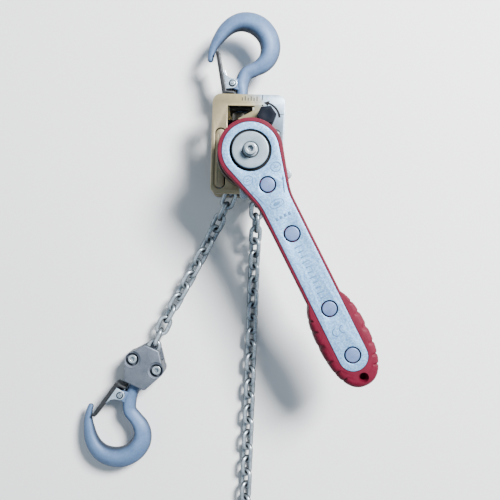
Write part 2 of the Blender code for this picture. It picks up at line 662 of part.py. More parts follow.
def block_half(name, heights):
    loops = [block_outline()]
    loops += [circle(side * BOLT_X, BOLT_Y, BOLT_RADIUS + GAP, 12) for side in (1, -1)]
    half = plate(name, loops, heights, "cast_grey", BLOCK)
    middle = frame(name + "_middle", 0, 0, BLOCK_MIDDLE, parent=BLOCK)
    mouth, nut_room, pin_room = 5.4, NUT_RADIUS + GAP, BLOCK_MIDDLE - 1.6
    bore = ((0, -4), (SHANK_RADIUS + GAP, -4), (SHANK_RADIUS + GAP, -30), (0, -30))
    cut(half,
        box(name + "_mouth", (-mouth, mouth), (5.6, 16.0), (-5.0, 5.0), parent=middle),
        box(name + "_nut_room", (-nut_room, nut_room), (-9.6, -2.4), (-nut_room, nut_room), parent=middle),
        turned(name + "_shank_bore", bore, parent=middle, steps=20, along="Y"),
        cylinder(name + "_pin_hole", CHAIN_PIN + GAP, (-pin_room, pin_room), 0, CHAIN_PIN_Y, parent=middle,
                 sides=14))
    low, high = heights
    is_rear = low < BLOCK_MIDDLE - 1
    counterbore = (low - 1, low + NUT_DEPTH) if is_rear else (high - COUNTERBORE_DEPTH, high + 1)
    for side in (1, -1):
        cut(half, cylinder(f"{name}_counterbore_{side + 1}", COUNTERBORE, counterbore, side * BOLT_X, BOLT_Y,
                           parent=BLOCK, sides=20))


def load_block():
    low, high = BLOCK_MIDDLE - BLOCK_HALF, BLOCK_MIDDLE + BLOCK_HALF
    block_half("load_block_rear", (low, BLOCK_MIDDLE - GAP / 2))
    block_half("load_block_front", (BLOCK_MIDDLE + GAP / 2, high))
    seat = high - COUNTERBORE_DEPTH + GAP
    top = seat + BOLT_HEAD_HEIGHT
    bevel, bolt_end = 0.4, low + 0.6
    profile = ((0, top), (BOLT_HEAD - bevel, top), (BOLT_HEAD, top - bevel), (BOLT_HEAD, seat),
               (BOLT_RADIUS, seat), (BOLT_RADIUS, bolt_end), (0, bolt_end))
    nut = [circle(0, 0, 4.1, 6), circle(0, 0, BOLT_RADIUS + GAP, 12)]
    for index, side in enumerate((-1, 1), 1):
        place = frame(f"block_bolt_{index}_place", side * BOLT_X, BOLT_Y, parent=BLOCK)
        bolt = turned(f"block_bolt_{index}", profile, "steel", place, 20)
        cut(bolt, cylinder(f"block_bolt_socket_{index}", BLOCK_SOCKET, (seat + 1.0, top + 1), parent=place,
                           sides=6))
        plate(f"block_nut_{index}", nut, (low + 0.5, low + NUT_DEPTH - GAP), "steel", place)
    cylinder("chain_pin", CHAIN_PIN, (1.9, BLOCK_MIDDLE * 2 - 1.9), 0, CHAIN_PIN_Y, "steel", BLOCK, 14)
    place = frame("load_hook_place", 0, LOAD_BOWL, BLOCK_MIDDLE, parent=BLOCK)
    shank_end = -2.8 - LOAD_BOWL
    hook("load_hook", place, shank_end, LOAD_STRETCH)
    latch("load_latch", place)
    collar("load_hook_nut", place, shank_end - 6.2, shank_end - 0.2)


# ---------------------------------------------------------------- chain

def chain_point(turn):
    """A point on the wheel's pitch circle, with 0 on the right and 90 at the top."""
    angle = math.radians(turn)
    return PITCH_RADIUS * math.cos(angle), PITCH_RADIUS * math.sin(angle), CHAIN_HEIGHT


def pin_place():
    turn = math.radians(BLOCK_TURN)
    return (BLOCK_X - CHAIN_PIN_Y * math.sin(turn), BLOCK_Y + CHAIN_PIN_Y * math.cos(turn))


def chains():
    pin_x, pin_y = pin_place()
    load_route = [chain_point(180), (-9.6, -9.0, 20.0), (LOAD_SLOT_X, -19.0, 20.0), (-16.5, -33.0, 16.5),
                  (-27.0, -55.0, 10.6), (-40.5, -82.0, 8.6), (-54.0, -108.0, 8.8),
                  (pin_x + 3.3, pin_y + 7.0, BLOCK_MIDDLE)]
    tail_route = [chain_point(0), (8.4, -9.0, 20.0), (TAIL_SLOT_X, -19.0, 20.0), (5.2, -34.0, 17.0),
                  (5.0, -55.0, 8.4)]
    on_ground = ((4.6, -80.0), (4.3, -120.0), (3.9, -170.0), (3.5, -225.0), (TAIL_X, COIL_Y + 30.6))
    tail_route += [(x, y, GROUND_CHAIN) for x, y in on_ground]
    wrap = [chain_point(turn) for turn in range(180, -1, -20)]
    wrap[0] = (wrap[0][0], wrap[0][1] + 1.2, CHAIN_HEIGHT)
    wrap[-1] = (wrap[-1][0], wrap[-1][1] + 1.2, CHAIN_HEIGHT)
    for name, line in (("load_chain", smooth(load_route, 2)), ("wheel_chain", wrap),
                       ("tail_chain", smooth(tail_route, 2))):
        tube(name, line, [CHAIN_RADIUS] * len(line), "steel", MAIN)
    coil_x = TAIL_X - COIL_MEAN - COIL_WIDTH / 4
    coil = frame("coil_place", coil_x, COIL_Y, parent=MAIN)
    low = GROUND_CHAIN - COIL_HEIGHT / 2
    ring("chain_coil", COIL_MEAN - COIL_WIDTH / 2, COIL_MEAN + COIL_WIDTH / 2, (low, low + COIL_HEIGHT),
         "steel", coil, 40)
    section = arc(STOP_RING_RADIUS, STOP_RING_HEIGHT, STOP_RING_WIRE, 90, -270, 8)[:-1]
    place = frame("stop_place", *STOP_RING_PLACE, parent=coil)
    turned("end_stop_ring", section, "steel", place, 24, closed=True)


clear_scene()
HOIST = new_collection("lever_chain_hoist")
CUTTERS = new_collection("cutters")
MAIN = frame("main_shaft", SHAFT_X, SHAFT_Y)
LEVER = frame("lever_axis", 0, 0, turn=LEVER_TURN, parent=MAIN)
BLOCK = frame("load_block_place", BLOCK_X, BLOCK_Y, turn=BLOCK_TURN, parent=MAIN)

side_plate("front_plate", FRONT_PLATE, (FRONT_PLATE[0] - 1, FRONT_PLATE[1] - 1.1))
side_plate("rear_plate", REAR_PLATE, (REAR_PLATE[0] + 1.1, REAR_PLATE[1] + 1))
side_bar("left_side_bar", LEFT_BAR_X, 0)
side_bar("right_side_bar", RIGHT_BAR_X, -0.6)
chain_guide()
chain_stripper()
bearings()
rear_cover()
chain_wheel()
brake()
brake_pawls()
brake_cover()
selector()
drive_hub()
release_disc()
lever()
top_hook()
load_block()
chains()
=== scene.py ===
"""How the lever chain hoist looks: its detailed pieces, finishes, chain, light and camera.

The hoist lies on its back on the ground with its front facing up (+Z) and its top hook along +Y. Sizes below
are in millimetres. Each piece is modelled in the frame of the sub-part that it belongs to.
"""

import math

import bmesh
import bpy
from mathutils import Matrix, Vector


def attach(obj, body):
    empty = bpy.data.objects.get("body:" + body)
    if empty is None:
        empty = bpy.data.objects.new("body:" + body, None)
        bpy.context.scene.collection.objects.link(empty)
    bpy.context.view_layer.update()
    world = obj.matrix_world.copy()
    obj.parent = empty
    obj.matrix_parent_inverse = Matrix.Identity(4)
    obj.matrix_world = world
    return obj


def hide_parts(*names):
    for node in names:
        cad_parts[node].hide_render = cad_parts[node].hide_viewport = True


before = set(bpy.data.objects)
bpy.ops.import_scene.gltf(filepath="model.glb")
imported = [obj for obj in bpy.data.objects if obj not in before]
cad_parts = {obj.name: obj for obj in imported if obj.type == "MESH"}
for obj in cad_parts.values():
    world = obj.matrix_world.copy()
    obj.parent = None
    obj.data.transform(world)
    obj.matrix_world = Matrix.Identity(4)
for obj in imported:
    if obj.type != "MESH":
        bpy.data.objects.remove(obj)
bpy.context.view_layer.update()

MM = 0.001

CRISP = 0.05  # the edge of a shape that only cuts others
PLAY = 0.3  # between a bolt and its hole

# Heights above the ground
REAR_COVER = (0.0, 5.7)
REAR_PLATE = (6.0, 9.0)
FRONT_PLATE = (31.0, 34.0)
BRAKE_COVER = (34.3, 44.1)
BACK_PLATE = (44.4, 46.2)
GRIP_BODY = (46.5, 59.4)
FACE_PLATE = (56.6, 59.7)
RIVET_TOP = 60.2
RELEASE_DISC = (56.6, 61.6)
KNOB = (34.3, 43.6)
CHAIN_HEIGHT = 20.0
GROUND_CHAIN = 4.1
BLOCK_MIDDLE, BLOCK_HALF = 8.8, 8.6

# Side plates
PLATE_LEFT, PLATE_RIGHT = -25.5, 21.6
PLATE_BOTTOM, PLATE_TOP = -24.2, 40.7
WINDOW = ((-15.6, 33.0), (1.8, 33.0), (1.8, 30.8), (-8.6, 24.9), (-8.6, 17.0), (-15.6, 17.0))
BAR_WIDTH, BAR_LENGTH = 6.5, 38.7
BAR_PLACES = (-19.6, 15.6)
BAR_Y = -1.3
SELECTOR = (9.6, 25.5)

# Lever, along its own -Y
HEAD_RADIUS, FACE_HEAD_RADIUS = 20.0, 17.3
KNEE = 33.0
BODY_HALF, FACE_HALF = 10.7, 9.0
FACE_END = 139.3
GRIP_MIDDLE, GRIP_LENGTH, GRIP_HALF = 127.0, 32.5, 16.2
GRIP_FULLNESS = 0.85  # 1 makes the grip an ellipse, and less makes it squarer
RIB_SPACING = 0.052  # of the grip's whole edge
NOTCH_WIDTH, NOTCH_DEPTH, NOTCH_DIP = 0.11, 0.8, 0.9  # the width is a share of the spacing
HANGING_HOLE, HANGING_RADIUS, HANGING_DEPTH = 153.6, 2.0, 7.0
DISC_HOLE, DISC_RADIUS = 12.8, 11.1
RIVETS = (23.3, 56.4, 107.0, 138.3)
RIVET_HEAD, RIVET_SHANK, RIVET_RECESS = 4.4, 2.2, 5.2
LOBE_ANGLE, LOBE_DISTANCE, LOBE_RADIUS = 34.0, 26.0, 3.3

# Hooks
BOWL_X = -1.2
NECK = ((0.0, 30.0, 4.15), (-0.1, 24.0, 4.5), (2.4, 17.5, 4.55), (8.5, 14.0, 4.6), (13.1, 11.1, 5.3),
        (16.8, 6.5, 5.9))
BOWL = ((0, 19.5, 6.5), (22, 19.3, 6.8), (45, 18.9, 6.9), (67, 18.4, 6.6), (90, 17.8, 6.0), (112, 16.9, 5.3),
        (135, 16.2, 4.6), (160, 16.6, 3.7), (180, 18.7, 2.7), (195, 21.0, 2.0), (203, 22.4, 1.7))
LOAD_STRETCH = 2.0  # how much further out than the top hook's the load hook's back stands
LATCH_PIVOT, LATCH_HALF = (-6.4, 25.2), 5.4
BLOCK_X, BLOCK_Y, BLOCK_TURN = -68.9, -142.6, -23.5
TOP_PIVOT_Y, TOP_BOWL = 36.5, 75.2
SHANK_BELOW_PIVOT = 11.0
SHANK_RADIUS, NUT_RADIUS = 4.1, 6.0
LOAD_BOWL, LOAD_SHANK_END = -49.3, -2.8
BLOCK_BOTTOM = -13.4
CHAIN_PIN, CHAIN_PIN_Y = 1.6, 10.0
BOLT_X, BOLT_Y = 9.0, 2.3
COUNTERBORE, COUNTERBORE_DEPTH, NUT_DEPTH = 4.4, 4.6, 3.4
BOLT_RADIUS, BOLT_HEAD, BOLT_HEAD_HEIGHT, BLOCK_SOCKET = 2.0, 3.0, 2.6, 1.5

# Chain
PITCH, WIRE, LINK_WIDTH = 9.0, 3.0, 10.1
PITCH_RADIUS = 9.17
COIL_CENTRE = (-47.35, -305.0)
COIL_RADII = (50.75, 41.25, 32.4)
COIL_TURNS = 2.2


# ---------------------------------------------------------------- frames

def turned(degrees, axis="Z"):
    return Matrix.Rotation(math.radians(degrees), 4, axis)


def moved(x, y, z=0.0):
    return Matrix.Translation(Vector((x, y, z)) * MM)


MAIN = moved(15.3, 56.1)
LEVER = MAIN @ turned(28.2)
BLOCK = MAIN @ moved(BLOCK_X, BLOCK_Y) @ turned(BLOCK_TURN)
TOP_HOOK = MAIN @ moved(-7.0, TOP_BOWL, CHAIN_HEIGHT) @ turned(180, "X")
LOAD_HOOK = BLOCK @ moved(0.0, LOAD_BOWL, BLOCK_MIDDLE)


# ---------------------------------------------------------------- outlines

def arc(x, y, radius, start, end, steps=12):
    """Points on an arc, from one angle to another in degrees."""
    angles = [math.radians(start + (end - start) * step / steps) for step in range(steps + 1)]
    return [(x + radius * math.cos(angle), y + radius * math.sin(angle)) for angle in angles]


def circle(x, y, radius, steps=48):
    return arc(x, y, radius, 0, 360, steps)[:-1]


def box_loop(left, right, bottom, top):
    return [(left, bottom), (right, bottom), (right, top), (left, top)]


def rounded_box(left, right, bottom, top, low, high):
    """A box whose lower corners have the radius low and whose upper corners have the radius high."""
    return (arc(right - high, top - high, high, 0, 90) + arc(left + high, top - high, high, 90, 180)
            + arc(left + low, bottom + low, low, 180, 270) + arc(right - low, bottom + low, low, 270, 360))


def slot(x, y, width, length):
    """An upright slot with round ends."""
    reach = (length - width) / 2
    return arc(x, y + reach, width / 2, 0, 180) + arc(x, y - reach, width / 2, 180, 360)


def band(x, y, radius, width, start, end, steps=24):
    outer, inner = radius + width / 2, radius - width / 2
    return arc(x, y, outer, start, end, steps) + arc(x, y, inner, end, start, steps)


def oval(x, y, across, along, steps=48):
    return [(x + across * u, y + along * v) for u, v in circle(0, 0, 1, steps)]


def mirrored(loop):
    """The outline's right side followed by its left side."""
    return [*loop, *[(-x, y) for x, y in reversed(loop)]]


def outward(loop):
    """The direction that points out of a counterclockwise loop, at each of its points."""
    normals = []
    for index in range(len(loop)):
        before, after = loop[index - 1], loop[(index + 1) % len(loop)]
        along = Vector((after[0] - before[0], after[1] - before[1])).normalized()
        normals.append(Vector((along.y, -along.x)))
    return normals


def smooth(points, steps):
    """Points on a smooth curve through the given points, of any dimension."""
    ends = [points[0], *points, points[-1]]
    made = []
    for before, start, end, after in zip(ends, ends[1:], ends[2:], ends[3:]):
        for step in range(steps):
            t = step / steps
            made.append(tuple(
                0.5 * (2 * b + (c - a) * t + (2 * a - 5 * b + 4 * c - d) * t ** 2
                       + (3 * b - a - 3 * c + d) * t ** 3)
                for a, b, c, d in zip(before, start, end, after)))
    made.append(tuple(points[-1]))
    return made


def eased(t):
    t = min(max(t, 0.0), 1.0)
    return t * t * (3 - 2 * t)


def area(loop):
    return sum(a[0] * b[1] - b[0] * a[1] for a, b in zip(loop, loop[1:] + loop[:1])) / 2


# ---------------------------------------------------------------- shapes

def in_scene(name, data):
    obj = bpy.data.objects.new(name, data)
    bpy.context.scene.collection.objects.link(obj)
    return obj


def evaluated(obj, *others):
    """The object's shape with its bevels and cuts made. It and the others are then removed."""
    mesh = bpy.data.meshes.new_from_object(obj.evaluated_get(bpy.context.evaluated_depsgraph_get()))
    for used in (obj, *others):
        bpy.data.objects.remove(used)
    shape = bmesh.new()
    shape.from_mesh(mesh)
    bpy.data.meshes.remove(mesh)
    return shape


def plate(loops, heights, edge=0.3, rounds=2):
    """A flat shape with rounded edges: the first loop is its outline and the others are its holes."""
    curve = bpy.data.curves.new("plate", "CURVE")
    curve.dimensions = "2D"
    curve.fill_mode = "BOTH"
    curve.extrude = ((heights[1] - heights[0]) / 2 - edge) * MM
    curve.bevel_depth = edge * MM
    curve.bevel_resolution = rounds
    curve.offset = -edge * MM
    for index, loop in enumerate(loops):
        loop = list(loop)
        if (area(loop) > 0) == (index > 0):
            loop.reverse()
        spline = curve.splines.new("POLY")
        spline.points.add(len(loop) - 1)
        for point, (x, y) in zip(spline.points, loop):
            point.co = (x * MM, y * MM, 0.0, 1.0)
        spline.use_cyclic_u = True
    shape = evaluated(in_scene("plate", curve))
    bmesh.ops.remove_doubles(shape, verts=shape.verts, dist=1e-7)
    bmesh.ops.recalc_face_normals(shape, faces=shape.faces)
    bmesh.ops.translate(shape, verts=shape.verts, vec=(0, 0, sum(heights) / 2 * MM))
    return shape


def grid(rows, closed_rows=False):
    """A skin over rows of points, each row closed on itself, with flat ends or with its ends joined."""
    shape = bmesh.new()
    verts = [[shape.verts.new(Vector(point) * MM) for point in row] for row in rows]
    pairs = list(zip(verts, verts[1:]))
    if closed_rows:
        pairs.append((verts[-1], verts[0]))
    for lower, upper in pairs:
        for index in range(len(lower)):
            after = (index + 1) % len(lower)
            shape.faces.new((lower[index], lower[after], upper[after], upper[index]))
    if not closed_rows:
        shape.faces.new(list(reversed(verts[0])))
        shape.faces.new(verts[-1])
    bmesh.ops.recalc_face_normals(shape, faces=shape.faces)
    return shape


def spun(profile, steps=64, closed=False):
    """A turned shape from (radius, height) pairs. Radius 0 at an end is closed with a fan."""
    rows = []
    for step in range(steps):
        angle = 2 * math.pi * step / steps
        rows.append([(r * math.cos(angle), r * math.sin(angle), z) for r, z in profile])
    shape = bmesh.new()
    verts = [[shape.verts.new(Vector(point) * MM) for point in row] for row in rows]
    last = len(profile) if closed else len(profile) - 1
    for now, after in zip(verts, verts[1:] + verts[:1]):
        for index in range(last):
            other = (index + 1) % len(profile)
            shape.faces.new((now[index], after[index], after[other], now[other]))
    bmesh.ops.remove_doubles(shape, verts=shape.verts, dist=1e-7)
    bmesh.ops.recalc_face_normals(shape, faces=shape.faces)
    return shape


def rounded_off(start, corner, end, steps):
    """Points on a curve from start to end that bends towards the corner between them."""
    shares = [step / steps for step in range(steps + 1)]
    return [tuple(start.lerp(corner, t).lerp(corner.lerp(end, t), t)) for t in shares]


def rounded_profile(corners, radius=0.3, steps=3):
    """The (radius, height) corners of a turned shape, with each corner in the middle rounded off."""
    made = [corners[0]]
    for before, corner, after in zip(corners, corners[1:], corners[2:]):
        here, back, on = Vector(corner), Vector(before), Vector(after)
        reach = min(radius, (back - here).length * 0.45, (on - here).length * 0.45)
        start = here + (back - here).normalized() * reach
        end = here + (on - here).normalized() * reach
        made += rounded_off(start, here, end, steps)
    return [*made, corners[-1]]


def solid_of_profile(corners, radius, steps, rounds=3):
    """A turned solid whose profile starts and ends on the axis, with its other corners rounded."""
    return spun(rounded_profile(corners, radius, rounds), steps)


def disc(radius, low, high, rounding, steps=32):
    return solid_of_profile(((0, high), (radius, high), (radius, low), (0, low)), rounding, steps)


def washer(inner, outer, low, high, rounding, steps=96, rounds=3):
    corners = ((inner, low), (inner, high), (outer, high), (outer, low), (inner, low))
    return spun(rounded_profile(corners, rounding, rounds)[:-1], steps, closed=True)


def cutter(loop, low, high):
    return plate([loop], (low, high), CRISP)


def joined(*shapes):
    """One shape made of several that stand in the same frame."""
    whole = bmesh.new()
    for shape in shapes:
        mesh = bpy.data.meshes.new("part")
        shape.to_mesh(mesh)
        shape.free()
        whole.from_mesh(mesh)
        bpy.data.meshes.remove(mesh)
    return whole


def placed(shape, matrix):
    shape.transform(matrix)
    return shape


def cut(shape, *cutters):
    """The shape less its cutters, which are shapes in the same frame."""
    target = as_object("cut_target", shape)
    for tool in cutters:
        modifier = target.modifiers.new("Cut", "BOOLEAN")
        modifier.operation = "DIFFERENCE"
        modifier.solver = "EXACT"
        modifier.object = as_object("cutter", tool)
    bpy.context.view_layer.update()
    return evaluated(target, *[modifier.object for modifier in target.modifiers])


def as_object(name, shape):
    mesh = bpy.data.meshes.new(name)
    shape.to_mesh(mesh)
    shape.free()
    return in_scene(name, mesh)


def smoothed(mesh, material, sharp=32.0):
    """Gives a mesh its finish and smooth faces, with sharp edges above an angle in degrees."""
    mesh.materials.clear()
    mesh.materials.append(material)
    for polygon in mesh.polygons:
        polygon.use_smooth = True
    mesh.set_sharp_from_angle(angle=math.radians(sharp))


def piece(name, shape, matrix, material, body, *nodes, sharp=32.0):
    """The shape as a finished piece: it rides on a body and stands for these CAD nodes."""
    shape.transform(matrix)
    obj = as_object(name, shape)
    smoothed(obj.data, material, sharp)
    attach(obj, body)
    if nodes:
        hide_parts(*nodes)
    return obj


# ---------------------------------------------------------------- finishes

class Finish:
    """A Principled material that is built up from procedural textures in the piece's own coordinates."""

    def __init__(self, name, roughness, metallic=0.0, **sockets):
        self.material = bpy.data.materials.new(name)
        self.material.use_nodes = True
        self.tree = self.material.node_tree
        self.shader = self.tree.nodes["Principled BSDF"]
        self.shader.inputs["Roughness"].default_value = roughness
        self.shader.inputs["Metallic"].default_value = metallic
        for socket, value in sockets.items():
            self.shader.inputs[socket.replace("_", " ")].default_value = value
        self.place = self.output("ShaderNodeTexCoord", "Object", {})
        self.normal = None

    def feed(self, target, value):
        """Gives an input the output of another node, a number, a vector or a colour."""
        if hasattr(value, "is_output"):
            self.tree.links.new(value, target)
        else:
            target.default_value = (*value, 1.0) if target.type == "RGBA" else value

    def output(self, kind, name, inputs, **settings):
        """The named output of a new node."""
        made = self.tree.nodes.new(kind)
        for key, value in settings.items():
            setattr(made, key, value)
        for socket, value in inputs.items():
            self.feed(made.inputs[socket], value)
        return made.outputs[name]

    def noise(self, size, detail, roughness=0.55, stretch=(1.0, 1.0, 1.0), turn=0.0):
        """Noise whose grain is that many millimetres across, drawn out along the axes."""
        place = self.output("ShaderNodeMapping", "Vector", {
            "Vector": self.place, "Rotation": (0.0, 0.0, math.radians(turn)),
            "Scale": [1.0 / (size * MM * part) for part in stretch]})
        return self.output("ShaderNodeTexNoise", "Fac", {
            "Vector": place, "Scale": 1.0, "Detail": detail, "Roughness": roughness})

    def ramp(self, value, *stops):
        """value turned into a colour through (place, colour) stops."""
        made = self.tree.nodes.new("ShaderNodeValToRGB")
        for element, (place, colour) in zip(made.color_ramp.elements, (stops[0], stops[-1])):
            element.position = place
            element.color = (*colour, 1.0)
        for place, colour in stops[1:-1]:
            made.color_ramp.elements.new(place).color = (*colour, 1.0)
        self.feed(made.inputs["Fac"], value)
        return made.outputs["Color"]

    def drift(self, size, first, second):
        """A tone that drifts from one colour to the other over patches of that size."""
        return self.ramp(self.noise(size, 4.0), (0.3, first), (0.7, second))

    def mix(self, factor, first, second):
        return self.output("ShaderNodeMix", 2, {0: factor, 6: first, 7: second}, data_type="RGBA")

    def scaled(self, value, factor, more):
        """The value times a factor, plus another value or a number."""
        return self.output("ShaderNodeMath", "Value", {0: value, 1: factor, 2: more},
                           operation="MULTIPLY_ADD")

    def spread(self, value, low, high):
        """value, which runs from about 0.3 to 0.7, spread between two numbers."""
        return self.output("ShaderNodeMapRange", "Result", {
            "Value": value, "From Min": 0.3, "From Max": 0.7, "To Min": low, "To Max": high})

    def axis(self, vector, name):
        return self.output("ShaderNodeSeparateXYZ", name, {"Vector": vector})

    def colour(self, value):
        self.feed(self.shader.inputs["Base Color"], value)

    def roughness(self, value):
        self.feed(self.shader.inputs["Roughness"], value)

    def wall_shaded(self, colour, wall_shade, edge):
        """The colour, turning into a painted shade colour on faces that stand upright."""
        # Painted shade: a mask from the face's upright normal, not dirt.
        unshaded = self.ramp(self.flatness(), (edge[0], (0.0, 0.0, 0.0)), (edge[1], (1.0, 1.0, 1.0)))
        return self.mix(unshaded, wall_shade, colour)

    def flatness(self):
        """1 on faces that look straight up or down, and 0 on upright walls."""
        upright = self.axis(self.output("ShaderNodeTexCoord", "Normal", {}), "Z")
        return self.output("ShaderNodeMath", "Value", {0: upright}, operation="ABSOLUTE")

    def flecked(self, tone, flecks, amount, colour, wall_shade, edge, wear):
        """A tone under flecks of a colour, with painted shade on its upright faces and wear that follows the
        flecks.
        """
        self.colour(self.wall_shaded(self.mix(self.spread(flecks, *amount), tone, colour), wall_shade, edge))
        self.roughness(self.spread(flecks, *wear))

    def bump(self, value, height):
        """Adds a relief of that height in millimetres."""
        inputs = {"Distance": height * MM, "Height": value}
        if self.normal:
            inputs["Normal"] = self.normal
        self.normal = self.output("ShaderNodeBump", "Normal", inputs)
        self.feed(self.shader.inputs["Normal"], self.normal)


def varied(name, colours, roughness, metallic, grain, relief, size=9.0, wall_shade=None, edge=(0.35, 0.85),
           **sockets):
    """A finish whose colour drifts between two tones over patches, with a fine grain and relief, and, when
    given a shade colour, with painted shade of that colour where the surface stands upright."""
    finish = Finish(name, roughness, metallic, **sockets)
    tone = finish.ramp(finish.noise(size, 4.0), (0.32, colours[0]), (0.68, colours[1]))
    finish.colour(finish.wall_shaded(tone, wall_shade, edge) if wall_shade else tone)
    fine = finish.noise(grain, 2.0)
    finish.roughness(finish.spread(fine, roughness - 0.08, roughness + 0.08))
    finish.bump(fine, relief)
    return finish.material


def zinc_finish():
    """Zinc whose colour drifts up and to the right from the pale gold of its passivation coat to a painted
    bluish-white reflection, with painted shade on its upright faces.
    """
    finish = Finish("zinc_plate", 0.34, 0.7)
    drift = finish.scaled(finish.axis(finish.place, "X"), 22.0, -0.95)
    drift = finish.scaled(finish.axis(finish.place, "Y"), 14.0, drift)
    drift = finish.scaled(finish.noise(16.0, 3.0), 0.35, drift)
    # Gold is the coat's own tone; the bluish white towards the upper right is a painted reflection.
    film_and_reflection = finish.ramp(drift, (0.25, (0.50, 0.42, 0.26)), (0.75, (0.54, 0.46, 0.24)),
                       (0.92, (0.44, 0.46, 0.42)), (1.15, (0.38, 0.52, 0.68)))
    mottle = finish.noise(2.2, 4.0, 0.65)
    stained = finish.mix(finish.spread(mottle, 0.0, 0.3), film_and_reflection, (0.32, 0.26, 0.17))
    # Painted shade: upright faces, such as the gaps round the bar tongues and the plate edges, turn near
    # black.
    finish.colour(finish.wall_shaded(stained, (0.05, 0.045, 0.036), (0.1, 0.5)))
    grain = finish.noise(0.35, 2.0, stretch=(1.0, 14.0, 1.0))
    finish.roughness(finish.spread(grain, 0.28, 0.42))
    finish.bump(grain, 0.012)
    return finish.material


def aluminium_finish():
    """Tumbled die casting: a fine soft grain with small dents."""
    finish = Finish("tumbled_aluminium", 0.42, 0.45)
    tone = finish.drift(7.0, (0.13, 0.31, 0.60), (0.19, 0.41, 0.74))
    speckle = finish.noise(1.1, 5.0, 0.8)
    # Painted shade: upright faces, such as the sides of the raised marks, turn dark blue.
    finish.flecked(tone, speckle, (-0.5, 1.1), (0.44, 0.72, 1.0), (0.05, 0.08, 0.13), (0.3, 0.9),
                   (0.34, 0.52))
    finish.bump(speckle, 0.07)
    return finish.material


def red_finish():
    """Moulded crimson plastic with a fine leathery grain."""
    finish = Finish("red_moulding", 0.55, 0.0, Specular_IOR_Level=0.2)
    tone = finish.drift(12.0, (0.088, 0.002, 0.012), (0.125, 0.003, 0.020))
    scuffs = finish.noise(1.1, 5.0, 0.7, stretch=(1.0, 3.0, 1.0), turn=28.0)
    # Painted shade: the moulding's upright faces turn a deeper red.
    finish.flecked(tone, scuffs, (0.0, 0.14), (0.28, 0.04, 0.07), (0.07, 0.001, 0.010), (0.1, 0.75),
                   (0.5, 0.66))
    finish.bump(finish.noise(0.3, 2.0), 0.02)
    return finish.material


def paint_finish():
    """Blue-grey satin paint over a forging: orange peel, faint runs and dust."""
    finish = Finish("hook_paint", 0.5, 0.1, Specular_IOR_Level=0.25)
    tone = finish.drift(10.0, (0.078, 0.140, 0.27), (0.110, 0.190, 0.35))
    dust = finish.noise(1.6, 5.0, 0.7)
    # Painted shade: the forging's upright inner and outer faces turn nearly black.
    finish.flecked(tone, dust, (0.0, 0.25), (0.24, 0.34, 0.50), (0.016, 0.024, 0.042), (0.2, 0.97),
                   (0.42, 0.58))
    finish.bump(finish.noise(1.4, 2.0), 0.05)
    finish.bump(finish.noise(0.35, 2.0), 0.008)
    return finish.material


def cast_finish():
    """Sand-cast iron under thin plating."""
    finish = Finish("cast_block", 0.5, 0.75)
    tone = finish.drift(6.0, (0.11, 0.13, 0.17), (0.18, 0.21, 0.26))
    sand = finish.noise(0.7, 4.0, 0.75)
    # Painted shade: the block's upright faces and recess sides turn dark.
    finish.flecked(tone, sand, (0.0, 0.4), (0.34, 0.38, 0.45), (0.05, 0.06, 0.075), (0.2, 0.8), (0.4, 0.62))
    finish.bump(sand, 0.09)
    return finish.material


def floor_finish():
    finish = Finish("floor", 0.9)
    finish.colour(finish.ramp(finish.noise(160.0, 2.0), (0.3, (0.93, 0.93, 0.92)), (0.7, (0.96, 0.96, 0.95))))
    return finish.material


ZINC = zinc_finish()
ALUMINIUM = aluminium_finish()
RED = red_finish()
PAINT = paint_finish()
CAST = cast_finish()
# Painted shade: these steels turn nearly black on upright faces, such as link sides, bolt heads, pins and
# latch cheeks.
CHAIN_STEEL = varied("chain_zinc", ((0.34, 0.41, 0.46), (0.60, 0.70, 0.78)), 0.3, 0.6, 0.6, 0.02, 4.0,
                     wall_shade=(0.022, 0.026, 0.030), edge=(0.45, 0.95))
PIN = varied("pin_steel", ((0.36, 0.46, 0.56), (0.52, 0.64, 0.74)), 0.35, 0.6, 0.5, 0.015, 4.0,
             wall_shade=(0.025, 0.03, 0.036), edge=(0.9, 0.995))
BRIGHT = varied("bright_steel", ((0.46, 0.56, 0.62), (0.66, 0.76, 0.84)), 0.3, 0.7, 0.5, 0.015, 4.0,
                wall_shade=(0.035, 0.04, 0.045))
LATCH = varied("latch_zinc", ((0.46, 0.60, 0.74), (0.66, 0.80, 0.94)), 0.3, 0.6, 0.6, 0.015, 4.0,
               wall_shade=(0.03, 0.035, 0.045))
# A dark copy of the latch zinc: painted shade for the latch's web.
LATCH_SHADE = varied("latch_zinc_painted_shade", ((0.028, 0.030, 0.033), (0.060, 0.064, 0.070)), 0.4, 0.5, 0.6, 0.02, 3.0)
RIVET = varied("rivet_steel", ((0.115, 0.18, 0.35), (0.165, 0.24, 0.44)), 0.45, 0.25, 0.6, 0.02, 4.0)
MACHINED = varied("machined_steel", ((0.48, 0.50, 0.52), (0.60, 0.62, 0.64)), 0.3, 1.0, 0.4, 0.01, 6.0)
DARK = varied("dark_steel", ((0.022, 0.020, 0.016), (0.052, 0.047, 0.037)), 0.42, 0.6, 0.7, 0.02, 6.0)
INK = varied("printed_black", ((0.002, 0.002, 0.003), (0.006, 0.006, 0.008)), 0.6, 0.0, 0.4, 0.01, 3.0,
             Specular_IOR_Level=0.2)
FADED_INK = varied("etched_mark", ((0.02, 0.019, 0.017), (0.06, 0.055, 0.05)), 0.6, 0.0, 0.3, 0.01, 1.0,
                   Specular_IOR_Level=0.2)
